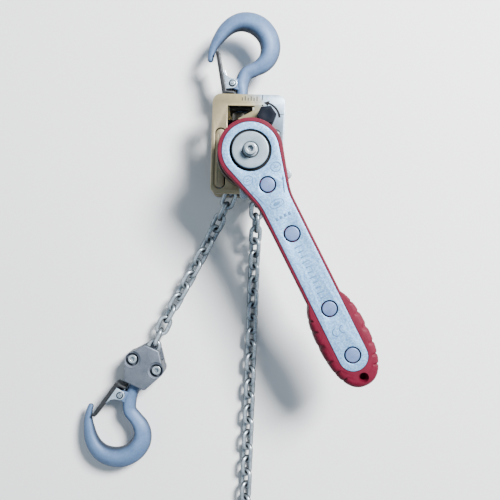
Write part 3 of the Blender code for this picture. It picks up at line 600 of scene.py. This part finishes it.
# A darker copy of the face plate's aluminium for its raised marks: painted shade.
SHADED_MARK = varied("cast_mark_painted_shade", ((0.085, 0.19, 0.35), (0.13, 0.27, 0.47)), 0.5, 0.3, 0.5, 0.03, 2.0)
DISC = varied("turned_disc", ((0.25, 0.33, 0.39), (0.33, 0.42, 0.49)), 0.42, 0.35, 0.5, 0.02, 5.0)
BLACK = varied("black_plastic", ((0.002, 0.004, 0.009), (0.005, 0.008, 0.016)), 0.6, 0.0, 0.5, 0.02, 7.0,
               Specular_IOR_Level=0.12)
FRICTION = varied("friction_lining", ((0.10, 0.07, 0.045), (0.21, 0.15, 0.10)), 0.85, 0.0, 0.5, 0.06, 1.2)


# ---------------------------------------------------------------- chain

def route():
    """The chain's line from the load block's pin, over the wheel and out to the middle of the coil."""
    turn = math.radians(BLOCK_TURN)
    pin_x = BLOCK_X - CHAIN_PIN_Y * math.sin(turn)
    pin_y = BLOCK_Y + CHAIN_PIN_Y * math.cos(turn)
    points = [(pin_x, pin_y, BLOCK_MIDDLE), (pin_x + 3.3, pin_y + 7.0, BLOCK_MIDDLE),
              (-54.0, -108.0, 7.6), (-40.5, -82.0, 7.4), (-27.0, -55.0, 10.0), (-16.5, -33.0, 16.5),
              (-11.2, -19.0, 20.0), (-9.6, -9.0, 20.0)]
    points += [(x, y, CHAIN_HEIGHT) for x, y in arc(0, 0, PITCH_RADIUS, 180, 0, 6)]
    points += [(8.4, -9.0, 20.0), (5.6, -19.0, 20.0), (5.2, -34.0, 17.0), (5.0, -55.0, 8.4),
               (4.6, -80.0, GROUND_CHAIN), (4.3, -120.0, GROUND_CHAIN), (3.9, -170.0, GROUND_CHAIN),
               (3.5, -225.0, GROUND_CHAIN), (3.4, -270.0, GROUND_CHAIN)]
    steps = 40
    outer, middle, inner = COIL_RADII
    for step in range(steps + 1):
        turns = COIL_TURNS * step / steps
        radius = outer
        radius += (middle - outer) * eased((turns - 0.62) / 0.36)
        radius += (inner - middle) * eased((turns - 1.55) / 0.4)
        angle = -2 * math.pi * turns
        points.append((COIL_CENTRE[0] + radius * math.cos(angle), COIL_CENTRE[1] + radius * math.sin(angle),
                       GROUND_CHAIN))
    return [MAIN @ (Vector(point) * MM) for point in points]


def link_rows(steps=10, sides=10):
    """The wire of one link as rows of points, in millimetres: length along X, width along Y."""
    bend = (LINK_WIDTH - WIRE) / 2
    straight = PITCH / 2 + WIRE / 2 - bend
    middle = arc(straight, 0, bend, -90, 90, steps) + arc(-straight, 0, bend, 90, 270, steps)
    section = circle(0, 0, WIRE / 2, sides)
    return [[(x + out.x * reach, y + out.y * reach, height) for reach, height in section]
            for (x, y), out in zip(middle, outward(middle))]


def direction(line, index):
    """The way an open line runs at one of its points."""
    return (line[min(index + 1, len(line) - 1)] - line[max(index - 1, 0)]).normalized()


def along_line(line, distance):
    """The point and direction at a distance along a line of points."""
    for start, end in zip(line, line[1:]):
        step = (end - start).length
        if distance <= step:
            return start.lerp(end, distance / step), (end - start).normalized()
        distance -= step
    return line[-1], direction(line, len(line) - 1)


def link_lean(index, middle):
    """How far a link is turned about the chain's line: every other link stands up over the wheel and by the
    block's pin, and all lean the same way to either side on the ground."""
    over_wheel = MAIN.translation + Vector((0, 0, CHAIN_HEIGHT * MM))
    away = ((middle - over_wheel).length / MM - 24.0) / 40.0
    home = 1.0 - (index * PITCH - 9.0) / 30.0
    return math.radians(45 * eased(away) + 45 * eased(home) + (0 if index % 2 else 90))


def chain_links(line, length):
    rows = link_rows()
    first = (PITCH / 2 - CHAIN_PIN) * MM
    shapes = []
    for index in range(int((length - first) / (PITCH * MM)) + 1):
        middle, ahead = along_line(line, first + index * PITCH * MM)
        side = ahead.cross(Vector((0, 0, 1))).normalized()
        up = side.cross(ahead).normalized()
        lean = link_lean(index, middle)
        wide = side * math.cos(lean) + up * math.sin(lean)
        thick = ahead.cross(wide)
        turn = Matrix((ahead, wide, thick)).transposed().to_4x4()
        shapes.append(placed(grid(rows, closed_rows=True), Matrix.Translation(middle) @ turn))
    return joined(*shapes)


def stop_ring(end):
    """A ring through the last link, lying inside the coil."""
    heading, radius, wire = math.radians(143), 8.5, 1.5
    centre = end + Vector((math.cos(heading), math.sin(heading), 0)) * radius * MM
    centre.z = (GROUND_CHAIN + wire + 0.2) / 2 * MM
    section = [(radius + x, z) for x, z in circle(0, 0, wire, 12)]
    lean = Matrix.Translation(centre) @ Matrix.Rotation(heading, 4, "Z") @ turned(8.0, "Y")
    return piece("stop_ring", spun(section, 48, closed=True), lean, BRIGHT, "frame",
                 "end_stop_ring")


def chain():
    points = route()
    line = [Vector(point) for point in smooth(points, 6)]
    length = sum((b - a).length for a, b in zip(line, line[1:]))
    made = piece("chain", chain_links(line, length), Matrix.Identity(4), CHAIN_STEEL, "frame",
                 "load_chain", "wheel_chain", "tail_chain", "chain_coil", sharp=60.0)
    ring = stop_ring(line[-1])


# ---------------------------------------------------------------- frame of the hoist

def side_plates():
    gap = 0.45
    outline = rounded_box(PLATE_LEFT, PLATE_RIGHT, PLATE_BOTTOM, PLATE_TOP, 4.5, 5.5)
    slots = [slot(x, BAR_Y, BAR_WIDTH + 2 * gap, BAR_LENGTH + 2 * gap) for x in BAR_PLACES]
    bearing = circle(0, 0, 8.15)
    front = plate([outline, *slots, bearing, WINDOW], FRONT_PLATE, 0.35)
    piece("front_side_plate", front, MAIN, ZINC, "frame", "front_plate")
    rear = plate([outline, *slots, bearing], REAR_PLATE, 0.35)
    piece("rear_side_plate", rear, MAIN, ZINC, "frame", "rear_plate")


def side_bars():
    """Spacer bars whose tongues fill the plates' slots, with a peened groove along the middle."""
    inner = (REAR_PLATE[1] + 0.1, FRONT_PLATE[0] - 0.1)
    for name, node, x, trim in (("left_spacer", "left_side_bar", BAR_PLACES[0], 0.0),
                                ("right_spacer", "right_side_bar", BAR_PLACES[1], 3.6)):
        outline = slot(x, BAR_Y, BAR_WIDTH - 0.6, BAR_LENGTH - 0.6)
        bar = plate([outline], (REAR_PLATE[0], FRONT_PLATE[1] - 0.1), 0.5)
        groove = slot(x - 1.0, BAR_Y, 0.8, BAR_LENGTH - 7.0)
        cutters = [cutter(groove, FRONT_PLATE[1] - 0.45, FRONT_PLATE[1] + 2)]
        if trim:
            relief = box_loop(x - 5, x - 4.2 + trim, BAR_Y - 25, BAR_Y + 25)
            cutters.append(cutter(relief, *inner))
        piece(name, cut(bar, *cutters), MAIN, ZINC, "frame", node)


def printed(loop):
    """A mark that stands just proud of the front plate."""
    return plate([loop], (FRONT_PLATE[1] - 0.1, FRONT_PLATE[1] + 0.05), 0.02, 0)


def printed_marks():
    """Plain marks on the front plate: an arrow round the selector and a short scale above the window."""
    middle, radius, start, end = Vector((7.7, 25.0)), 10.5, 6, 72
    turn = math.radians(end)
    base, along = Vector((math.cos(turn), math.sin(turn))), Vector((-math.sin(turn), math.cos(turn)))
    neck = middle + base * radius
    head = [neck - base * 2.0, neck + base * 2.0, neck + along * 3.4 - base * 0.5]
    marks = [printed(band(*middle, radius, 1.4, start, end)),
             printed([tuple(point) for point in head]),
             printed(circle(6.9, 33.7, 0.55, 16)),
             printed([(6.3, 36.9), (6.8, 36.9), (7.1, 40.3), (6.5, 40.3)]),
             printed([(17.6, 27.7), (21.2, 28.2), (21.2, 28.5), (17.6, 28.1)])]
    piece("plate_arrow", joined(*marks), MAIN, INK, "frame")
    strokes = []
    for index in range(6):
        left, bottom = -6.6 + index * 1.9, 36.4
        tall = 2.9 if index % 2 else 2.1
        strokes.append(printed(box_loop(left, left + 0.6, bottom, bottom + tall)))
    piece("plate_scale", joined(*strokes), MAIN, FADED_INK, "frame")


def rear_cover():
    outline = rounded_box(-25.0, 21.0, -23.0, 21.0, 4.0, 4.0)
    places, head = ((16.0, 16.0), (-20.0, -18.0)), 2.9
    cover = plate([outline, *[circle(x, y, head + PLAY, 32) for x, y in places]], REAR_COVER, 0.8, 3)
    rim = spun(rounded_profile(((9.2, -1), (9.2, 0.45), (10.4, 0.45), (10.4, -1)), 0.2), closed=True)
    piece("back_cover", cut(cover, rim), MAIN, ZINC, "frame", "rear_cover")
    corners = ((0, 5.6), (1.5, 5.6), (1.5, 3.2), (head, 3.2), (head, 0.3), (0, 0.3))
    cross = box_loop(-2.0, 2.0, -0.35, 0.35)
    for index, (x, y) in enumerate(places, 1):
        screw = solid_of_profile(corners, 0.5, 32)
        cutters = [cutter(cross, -1, 1.3), placed(cutter(cross, -1, 1.31), turned(90))]
        place = MAIN @ moved(x, y) @ turned(24 * index)
        piece(f"back_screw_{index}", cut(screw, *cutters), place, BRIGHT, "frame",
              f"cover_screw_{index}")


# ---------------------------------------------------------------- brake, selector and shaft

def brake_cover():
    low, high = BRAKE_COVER
    outer, inner, mouth = 21.3, 20.3, 14.4
    corners = ((mouth, high - 1.3), (mouth, high), (outer - 0.4, high), (outer, high - 1.0), (outer, low),
               (inner, low), (inner, high - 1.3), (mouth, high - 1.3))
    ring = spun(rounded_profile(corners, 0.9)[:-1], 96, closed=True)
    notch = cutter(circle(*SELECTOR, 7.0), low - 2, high + 1)
    piece("brake_housing", cut(ring, notch), MAIN, DARK, "frame", "brake_cover")


def selector():
    """A hexagonal knob with soft corners and a shallow dish in its top."""
    reach, softness = 5.35, 0.85
    outline = []
    for x, y in circle(0, 0, reach, 6):
        facing = math.degrees(math.atan2(y, x))
        outline += arc(x, y, softness, facing - 30, facing + 30, 4)
    knob = plate([outline], KNOB, 0.55, 3)
    dish = spun([(0.0, 0.0), (1.6, 0.06), (3.0, 0.32), (3.0, 3.0), (0.0, 3.0)], 32)
    dish = placed(dish, moved(0, 0, KNOB[1] - 0.3))
    stem = disc(2.0, 29.0, 35.0, 0.2, 24)
    place = MAIN @ moved(*SELECTOR) @ turned(7.0)
    piece("selector_knob_moulding", joined(cut(knob, dish), stem), place, BLACK, "selector",
          "selector_knob")


def release_disc():
    shape = washer(4.9, DISC_RADIUS, *RELEASE_DISC, 0.7, rounds=4)
    piece("free_chain_disc", shape, MAIN, DISC, "release", "release_disc")


def head_seal():
    """A soft black ring that fills the gap between the release disc and the face plate: a seal, and painted
    shade for the dark gap.
    """
    piece("head_seal", washer(11.35, 12.65, 57.2, 58.7, 0.3), MAIN, INK, "lever")


def socket_head(low, high, radius, socket, floor):
    """A bolt head with a hexagonal socket down to its floor: a rounded ring on top of a plain base."""
    ring = plate([circle(0, 0, radius), circle(0, 0, socket, 6)], (floor - 0.1, high), 0.35, 3)
    base = spun([(0.0, floor), (radius - 0.02, floor), (radius - 0.02, low), (0.0, low)], 48)
    return joined(ring, base)


def centre_bolt():
    low = RELEASE_DISC[1] + PLAY
    seat, washer_radius, head_radius, socket = low + 0.9, 4.3, 3.6, 1.9
    head = socket_head(seat - 0.1, seat + 3.3, head_radius, socket, seat + 1.1)
    shape = joined(head, disc(washer_radius, low, seat, 0.3, 64))
    piece("shaft_bolt", shape, MAIN @ turned(12), BRIGHT, "chain_wheel", "centre_bolt")


def dust_shield():
    """A black sheet inside the plates, put there as painted shade on what the window opens on."""
    left, right, bottom, top, sheet = -16.2, 2.5, 14.5, 29.0, 0.5
    wall = plate([box_loop(left, left + sheet, bottom, top)], (26.8, 30.8), 0.1, 1)
    floor = plate([box_loop(left, right, bottom, top)], (9.3, 10.1), 0.1, 1)
    piece("dust_shield", joined(wall, floor), MAIN, BLACK, "frame")


# ---------------------------------------------------------------- lever

def head_arc(radius, half, steps=48):
    reach = math.hypot(half, KNEE)
    start = math.degrees(math.atan2(-KNEE, half) + math.acos(radius / reach))
    return arc(0, 0, radius, start, 180 - start, steps)


def face_outline(grow=0.0):
    """The face plate's outline, with a soft bend where its head runs into its bar."""
    half, radius = FACE_HALF + grow, FACE_HEAD_RADIUS + grow
    left = soft_knee(half, radius)
    right = [(-x, y) for x, y in reversed(left)]
    return head_arc(radius, half) + left + arc(0, -FACE_END, half, 180, 360, 32) + right


def soft_knee(half, radius, reach=5.0, steps=8):
    """Points that round off the left knee at (-half, -KNEE), between the head's tangent and the bar."""
    corner = Vector((-half, -KNEE))
    start = corner + (Vector(head_arc(radius, half)[-1]) - corner).normalized() * reach
    end = corner + Vector((0, -reach))
    return rounded_off(start, corner, end, steps)


def fuller(share):
    return math.copysign(abs(share) ** GRIP_FULLNESS, share)


def grip_outline():
    """The moulding's outline, with how round its upper edge is and how deep its notches are at each point."""
    start = math.asin((BODY_HALF / GRIP_HALF) ** (1 / GRIP_FULLNESS))
    steps = 420
    crisp, soft = 0.75, 4.0
    knee = soft_knee(BODY_HALF, HEAD_RADIUS)
    left = knee + [(-BODY_HALF, y) for y in range(-50, -94, -8)]
    right = [(BODY_HALF, y) for y in range(-90, -49, 8)] + [(-x, y) for x, y in reversed(knee)]
    points = [(x, y, crisp, 0.0) for x, y in head_arc(HEAD_RADIUS, BODY_HALF, 72) + left]
    for step in range(steps + 1):
        share = step / steps
        angle = math.pi / 2 + start + (math.pi * 2 - 2 * start) * share
        near = min(share, 1 - share)
        rounding = crisp + (soft - crisp) * eased(near * 6)
        ribbed = eased((near - 0.03) * 40) * eased((0.38 - near) * 30)
        phase = (near / RIB_SPACING) % 1.0
        notch = math.exp(-((phase - 0.5) / NOTCH_WIDTH) ** 2)
        x, y = GRIP_HALF * fuller(math.cos(angle)), GRIP_LENGTH * fuller(math.sin(angle)) - GRIP_MIDDLE
        points.append((x, y, rounding, ribbed * notch))
    return points + [(x, y, crisp, 0.0) for x, y in right]


def moulding_skin():
    """The red moulding, skinned in rows from its back edge up its wall and over its rounded upper edge."""
    points = grip_outline()
    normals = outward(points)
    low, high = GRIP_BODY
    rows = []
    for inset, lift in ((0.9, 0.0), (0.25, 0.6), (0.0, 0.8)):
        rows.append([(x - n.x * (inset + rib * 0.4), y - n.y * (inset + rib * 0.4), low + lift)
                     for (x, y, rounding, rib), n in zip(points, normals)])
    for angle in range(0, 91, 15):
        a = math.radians(angle)
        fade = math.cos(a * 0.93) ** 0.6
        row = []
        for (x, y, rounding, rib), n in zip(points, normals):
            inset = rounding * (1 - math.cos(a)) + rib * NOTCH_DEPTH * fade
            dip = rib * NOTCH_DIP * math.sin(2 * a)
            row.append((x - n.x * inset, y - n.y * inset, high - rounding * (1 - math.sin(a)) - dip))
        rows.append(row)
    return grid(rows)


def lever_body():
    low, high = GRIP_BODY
    floor, rim = high - HANGING_DEPTH, high + 0.3
    hole = spun([(0.0, floor), (HANGING_RADIUS - 0.4, floor), (HANGING_RADIUS, floor + 0.4),
                 (HANGING_RADIUS, high - 2.4), (HANGING_RADIUS + 1.3, rim), (0.0, rim)], 40)
    cutters = [cutter(face_outline(0.25), FACE_PLATE[0] - 0.3, high + 1),
               cutter(circle(0, 0, 14.6, 64), low - 1, high), placed(hole, moved(0, -HANGING_HOLE))]
    cutters += [cutter(circle(*lobe_place(side), LOBE_RADIUS + PLAY, 32), low - 1, 50.9)
                for side in (1, -1)]
    shape = cut(moulding_skin(), *cutters)
    piece("lever_moulding", shape, LEVER, RED, "lever", "lever_body", sharp=40.0)


def lobe_place(side):
    angle = math.radians(side * LOBE_ANGLE - 90)
    return LOBE_DISTANCE * math.cos(angle), LOBE_DISTANCE * math.sin(angle)


def raised(*loops, rise=0.2):
    """A low mark that stands on the face plate."""
    return plate(loops, (FACE_PLATE[1] - 0.15, FACE_PLATE[1] + rise), 0.1, 2)


def outline_band(outer, width):
    """A loop and the same loop shrunk by a width towards its own middle."""
    middle = Vector((sum(x for x, y in outer) / len(outer), sum(y for x, y in outer) / len(outer)))
    inner = []
    for point in outer:
        spoke = Vector(point) - middle
        inner.append(tuple(middle + spoke * (1 - width / spoke.length)))
    return [outer, inner]


def face_icons(side):
    """A round icon beside the head and a slim arrow along the bar's edge."""
    x, y = side * 9.4, -15.8
    slim = [(-0.35, 0.0), (0.35, 0.0), (0.35, 8.0), (1.0, 8.0), (0.0, 10.5), (-1.0, 8.0), (-0.35, 8.0)]
    c, s = math.cos(math.radians(side * 21)), math.sin(math.radians(side * 21))
    arrow = [(side * 7.0 + u * c + v * s, -32.0 - u * s + v * c) for u, v in slim]
    return [raised(*outline_band(oval(x, y, 3.3, 3.0), 0.4)),
            raised(box_loop(x - 1.4, x + 1.4, y - 0.6, y - 0.15)),
            raised(box_loop(x - 0.9, x + 0.9, y + 0.5, y + 0.95)),
            raised(arrow)]


def face_marks():
    """Generic raised marks: two round icons, two slim arrows, a blank oval and a ladder of short bars."""
    marks = [*face_icons(1), *face_icons(-1)]
    marks.append(raised(*outline_band(oval(0, -36.0, 4.6, 2.6), 0.4)))
    marks.append(raised(oval(0, -36.0, 2.4, 1.0)))
    for index in range(4):
        x = -4.2 + 2.8 * index
        marks.append(raised(box_loop(x - 0.8, x + 0.8, -45.6, -43.6)))
    for index in range(11):
        y = -65.0 - index * 3.4
        width = 1.9 if index % 3 else 2.5
        marks.append(raised(box_loop(-width, width, y - 0.35, y + 0.35), rise=0.14))
    for side in (1, -1):
        marks.append(raised(band(side * 2.4, -121.5, 2.4, 0.7, 90, 270)))
    return marks


def face_plate():
    loops = [face_outline(), circle(0, 0, DISC_HOLE, 96)]
    loops += [circle(0, -along, RIVET_RECESS, 40) for along in RIVETS]
    piece("lever_face", plate(loops, FACE_PLATE), LEVER, ALUMINIUM, "lever", "lever_face_plate")
    # The raised marks wear a darker copy of the aluminium as painted shade.
    piece("lever_face_marks", joined(*face_marks()), LEVER, SHADED_MARK, "lever")


def rivets():
    head_low, back = 57.0, BACK_PLATE[0]
    corners = ((0, RIVET_TOP), (RIVET_HEAD, RIVET_TOP - 0.1), (RIVET_HEAD, head_low), (RIVET_SHANK, head_low),
               (RIVET_SHANK, back), (0, back))
    for index, along in enumerate(RIVETS, 1):
        piece(f"rivet_{index}", solid_of_profile(corners, 0.55, 48, 4), LEVER @ moved(0, -along), RIVET,
              "lever", f"lever_rivet_{index}")


def back_plate():
    """The steel plate behind the lever, and the bosses on its two round lobes."""
    half, length = 7.5, 146.0
    lobes = [arc(*lobe_place(side), LOBE_RADIUS, side * LOBE_ANGLE - 190, side * LOBE_ANGLE + 10, 16)
             for side in (1, -1)]
    end = arc(0, -length + half, half, 180, 360, 24)
    outline = arc(0, 0, 18.5, -40, 220, 48) + lobes[1] + end + lobes[0]
    holes = [circle(0, -along, RIVET_SHANK + 0.25, 24) for along in RIVETS]
    shape = plate([outline, circle(0, 0, 8.8), *holes], BACK_PLATE)
    piece("lever_back", shape, LEVER, BRIGHT, "lever", "lever_back_plate")
    for name, side in (("right_boss", 1), ("left_boss", -1)):
        boss = disc(LOBE_RADIUS - PLAY, BACK_PLATE[1] + 0.2, 50.6, 0.6)
        piece(f"lever_{name}_head", boss, LEVER @ moved(*lobe_place(side)), BRIGHT, "lever",
              f"lever_{name}")


# ---------------------------------------------------------------- hooks and latches

def stretched(x, y, stretch):
    """x moved towards the hook's back, less and less up its shank and towards its point."""
    return x + stretch * min(1.0, (30.0 - y) / 8.0) * (x + 20.0) / 40.0


def hook_line(shank_end, stretch):
    """The forging's middle line from its shank's end to its point, with half its width at each place."""
    line = list(NECK)
    for angle, distance, half in BOWL:
        turn = math.radians(angle)
        line.append((BOWL_X + distance * math.cos(turn), -distance * math.sin(turn), half))
    line = [(stretched(x, y, stretch), y, half) for x, y, half in line]
    shank = [(0.0, y, SHANK_RADIUS) for y in (shank_end, shank_end - 1.0, 34.0)]
    return smooth(shank + line, 7)


def hook_section(forged, half, steps=36):
    """Half-width and depth round the forging: a round shank that turns into a rounded trapezoid, thicker on
    the bowl's side, with a faint parting line on its edges and a low crown on its faces."""
    row = []
    power = 1.0 - 0.2 * forged
    for c, s in circle(0, 0, 1, steps):
        wide = math.copysign(abs(c) ** power, c)
        deep = math.copysign(abs(s) ** power, s)
        taper = 1.0 - 0.2 * forged * wide
        parting = 0.22 * forged * math.exp(-(s / 0.09) ** 2)
        crown = 0.08 * half * forged * math.exp(-((c + 0.1) / 0.4) ** 4)
        row.append((half * wide + math.copysign(parting, c),
                    deep * taper * half * (1 - 0.16 * forged) + math.copysign(crown, s)))
    return row


def hook_shape(shank_end, stretch):
    line = hook_line(shank_end, stretch)
    flat = [Vector((x, y, 0)) for x, y, half in line]
    rows = []
    for index, (x, y, half) in enumerate(line):
        along = direction(flat, index)
        on_shank = x < 4 and y > 15
        forged = eased((31.0 - y) / 8.0) if on_shank else 1.0
        rows.append([(x - along.y * reach, y + along.x * reach, depth)
                     for reach, depth in hook_section(forged, half)])
    tip, ahead, last = flat[-1], direction(flat, len(flat) - 1), rows[-1]
    for grow, reach in ((0.85, 0.7), (0.55, 1.15), (0.2, 1.4)):
        centre = tip + ahead * reach * line[-1][2] * 0.6
        rows.append([tuple(centre + (Vector(point) - tip) * grow) for point in last])
    x, y = LATCH_PIVOT
    lug = arc(x, y, 3.3, 90, 270, 16) + [(0.5, y - 4.4), (0.5, y + 4.4)]
    return joined(grid(rows), plate([lug], (-3.8, 3.8), 0.7, 3))


def latch_web():
    """The latch's folded back, from the tip that closes the hook's mouth to the closed end at the rivet."""
    x, y = -11.8, -20.8
    outline = [(1.5, 6.9), (-5.6, 6.9), (-6.8, 5.9), (x, y), (x + 0.7, y - 0.5), (x + 2.4, y - 0.1),
               (x + 3.2, y + 1.2), (-3.7, 4.6), (1.5, 4.9)]
    return plate([outline], (-LATCH_HALF, LATCH_HALF), 0.95, 4)


def latch_cheeks():
    """The two cheeks that carry the latch on its rivet."""
    outline = arc(0, 0, 3.3, -70, 90, 16)
    outline += [(-3.0, 3.6), (-4.2, 3.9), (-7.1, -11.4), (-6.3, -8.8), (-4.6, -5.8), (-2.2, -4.0)]
    loops = [outline, circle(0, 0, 1.5, 24)]
    return joined(plate(loops, (LATCH_HALF - 1.1, LATCH_HALF + 0.1), 0.3, 3),
                  plate(loops, (-LATCH_HALF - 0.1, 1.1 - LATCH_HALF), 0.3, 3))


def latch_rivet():
    """A rivet with a small crown in the middle of each sloping head."""
    half = LATCH_HALF + 0.3
    head = [(0.0, half + 1.15), (0.6, half + 1.15), (0.85, half + 0.7), (1.2, half + 0.75),
            (2.0, half + 0.45), (2.4, half), (1.2, half)]
    return spun([*head, *[(radius, -height) for radius, height in reversed(head)]], 32)


def spring_shape():
    """A latch spring: four coils round the rivet and two straight legs."""
    radius, wire, width, turns, steps = 2.2, 0.35, 4.8, 4, 16
    line = [Vector((-5.2, -9.0, -2.6)), Vector((-3.6, -4.0, -2.5))]
    for step in range(turns * steps + 1):
        angle = math.pi + 2 * math.pi * step / steps
        height = width * (step / (turns * steps) - 0.5)
        line.append(Vector((radius * math.cos(angle), radius * math.sin(angle), height)))
    line += [Vector((1.2, 4.2, 2.5)), Vector((1.4, 6.0, 2.6))]
    return wire_along(line, wire)


def wire_along(line, radius, sides=8):
    rows = []
    for index, point in enumerate(line):
        along = direction(line, index)
        across = along.cross(Vector((0.1, 0.2, 1.0))).normalized()
        other = along.cross(across)
        rows.append([tuple(point + across * u + other * v) for u, v in circle(0, 0, radius, sides)])
    return grid(rows)


def nut_shape(low, high):
    """A round nut, turned about the hook's Y axis."""
    return placed(washer(SHANK_RADIUS + 0.1, NUT_RADIUS, low, high, 0.6, 48), turned(-90, "X"))


def hooks():
    top_end, load_end = TOP_BOWL - TOP_PIVOT_Y + SHANK_BELOW_PIVOT, LOAD_SHANK_END - LOAD_BOWL
    for name, place, shank_end, nut, stretch in (("top", TOP_HOOK, top_end, 5.4, 0.0),
                                                 ("load", LOAD_HOOK, load_end, 6.2, LOAD_STRETCH)):
        hook, latch = f"{name}_hook", f"{name}_latch"
        pivot = place @ moved(*LATCH_PIVOT)
        piece(f"{hook}_forging", hook_shape(shank_end, stretch), place, PAINT, hook, hook, sharp=50.0)
        # The web wears the dark copy of the latch zinc as painted shade.
        piece(f"{latch}_web", latch_web(), pivot, LATCH_SHADE, latch, latch)
        piece(f"{latch}_cheeks", latch_cheeks(), pivot, LATCH, latch)
        piece(f"{latch}_pin", latch_rivet(), pivot, PIN, hook, f"{latch}_rivet")
        piece(f"{latch}_spring", spring_shape(), pivot, BRIGHT, hook)
        piece(f"{name}_shank_nut", nut_shape(shank_end - nut, shank_end - 0.2), place, DARK, hook,
              f"{hook}_nut")


# ---------------------------------------------------------------- load block

def block_outline():
    right = [(4.6, 15.0), (5.2, 14.7)] + arc(BOLT_X, BOLT_Y, 5.0, 58, -32, 16)
    return mirrored(right + [(7.9, BLOCK_BOTTOM + 0.8), (7.1, BLOCK_BOTTOM)])


def bolt_recess(is_rear):
    """The room for a nut at the back, or for a bolt's head and the wide spot face round it at the front."""
    low, high = BLOCK_MIDDLE - BLOCK_HALF, BLOCK_MIDDLE + BLOCK_HALF
    if is_rear:
        return spun([(0.0, low - 1), (COUNTERBORE, low - 1), (COUNTERBORE, low + NUT_DEPTH),
                     (0.0, low + NUT_DEPTH)], 40)
    floor, spot_face = high - COUNTERBORE_DEPTH, COUNTERBORE + 1.5
    return spun([(0.0, floor), (COUNTERBORE - 0.4, floor), (COUNTERBORE, floor + 0.4),
                 (COUNTERBORE, high - 1.1), (spot_face, high - 0.8), (spot_face, high + 1),
                 (0.0, high + 1)], 40)


def block_halves():
    """Two halves that hold the chain's last link in a mouth at the top and the hook's nut in the middle."""
    low, high = BLOCK_MIDDLE - BLOCK_HALF, BLOCK_MIDDLE + BLOCK_HALF
    mouth = mirrored([(5.4, 5.6), (7.2, 6.8), (9.6, 9.2), (9.6, 17.0)])
    room, bore = NUT_RADIUS + PLAY, SHANK_RADIUS + PLAY
    nut_room = box_loop(-room, room, -9.6, -2.4)
    for name, node, heights, is_rear in (
            ("block_back", "load_block_rear", (low, BLOCK_MIDDLE - PLAY / 2), True),
            ("block_front", "load_block_front", (BLOCK_MIDDLE + PLAY / 2, high), False)):
        holes = [circle(side * BOLT_X, BOLT_Y, BOLT_RADIUS + PLAY, 24) for side in (1, -1)]
        half = plate([block_outline(), *holes], heights, 0.7, 3)
        shank_bore = spun([(0.0, -4.0), (bore, -4.0), (bore, -30.0), (0.0, -30.0)], 40)
        cutters = [cutter(mouth, BLOCK_MIDDLE - 5.2, BLOCK_MIDDLE + 5.2),
                   cutter(nut_room, BLOCK_MIDDLE - room, BLOCK_MIDDLE + room),
                   placed(shank_bore, moved(0, 0, BLOCK_MIDDLE) @ turned(-90, "X"))]
        cutters += [placed(bolt_recess(is_rear), moved(side * BOLT_X, BOLT_Y)) for side in (1, -1)]
        piece(name, cut(half, *cutters), BLOCK, CAST, "load_block", node)


def block_bolts():
    low, high = BLOCK_MIDDLE - BLOCK_HALF, BLOCK_MIDDLE + BLOCK_HALF
    seat = high - COUNTERBORE_DEPTH + PLAY
    top, end = seat + BOLT_HEAD_HEIGHT, low + 0.6
    for index, side in enumerate((-1, 1), 1):
        shank = spun([(0.0, seat + 0.1), (BOLT_RADIUS, seat + 0.1), (BOLT_RADIUS, end + 0.3),
                      (BOLT_RADIUS - 0.3, end), (0.0, end)], 32)
        place = BLOCK @ moved(side * BOLT_X, BOLT_Y)
        bolt = joined(socket_head(seat, top, BOLT_HEAD, BLOCK_SOCKET, seat + 1.0), shank)
        piece(f"block_socket_bolt_{index}", bolt, place @ turned(17 * side), BRIGHT, "load_block",
              f"block_bolt_{index}")
        hexagon = circle(0, 0, COUNTERBORE - PLAY, 6)
        nut = plate([hexagon, circle(0, 0, BOLT_RADIUS + PLAY, 24)], (low + 0.5, low + 3.1))
        piece(f"block_hex_nut_{index}", nut, place, BRIGHT, "load_block", f"block_nut_{index}")


# ---------------------------------------------------------------- CAD nodes that keep their shape

KEPT = (
    (("chain_wheel", "front_bearing", "rear_bearing", "brake_hub", "ratchet_disc", "drive_hub", "chain_pin",
      "brake_pawl_pin_1", "brake_pawl_pin_2", "drive_pawl_pin"), MACHINED),
    (("chain_guide", "chain_stripper", "hook_crosshead", "brake_pawl_1", "brake_pawl_2", "drive_pawl"), DARK),
    (("rear_friction_disc", "front_friction_disc"), FRICTION),
)


def finish_kept_nodes():
    for nodes, material in KEPT:
        for node in nodes:
            smoothed(bpy.data.objects[node].data, material)


# ---------------------------------------------------------------- floor, light and camera

def studio():
    mesh = bpy.data.meshes.new("floor")
    size = 1.6
    mesh.from_pydata([(x, y, 0) for x, y in box_loop(-size, size, -size, size)], [], [(0, 1, 2, 3)])
    floor = in_scene("floor", mesh)
    floor.location.z = -0.0002
    floor.data.materials.append(floor_finish())
    for name, place, size, power in (("key_light", (0.62, 0.55, 0.85), 0.35, 52.0),
                                     ("fill_light", (-0.85, -0.1, 0.7), 0.9, 2.0)):
        light = bpy.data.lights.new(name, "AREA")
        light.size = size
        light.energy = power
        lamp = in_scene(name, light)
        lamp.location = place
        lamp.rotation_euler = (-Vector(place)).to_track_quat("-Z", "Y").to_euler()
    world = bpy.data.worlds.new("studio")
    world.use_nodes = True
    background = world.node_tree.nodes["Background"].inputs
    background["Color"].default_value = (0.60, 0.79, 1.0, 1.0)
    background["Strength"].default_value = 0.32
    bpy.context.scene.world = world


def camera():
    data = bpy.data.cameras.new("camera")
    data.lens = 41.2
    data.sensor_width = 36.0
    data.clip_start = 0.01
    made = in_scene("camera", data)
    made.location = (0.01686, -0.00419, 0.405)
    made.rotation_euler = (0.0, 0.0, math.radians(1.7))
    bpy.context.scene.camera = made


camera()
studio()
chain()
side_plates()
side_bars()
printed_marks()
rear_cover()
brake_cover()
selector()
release_disc()
head_seal()
centre_bolt()
dust_shield()
lever_body()
face_plate()
rivets()
back_plate()
hooks()
block_halves()
block_bolts()
finish_kept_nodes()
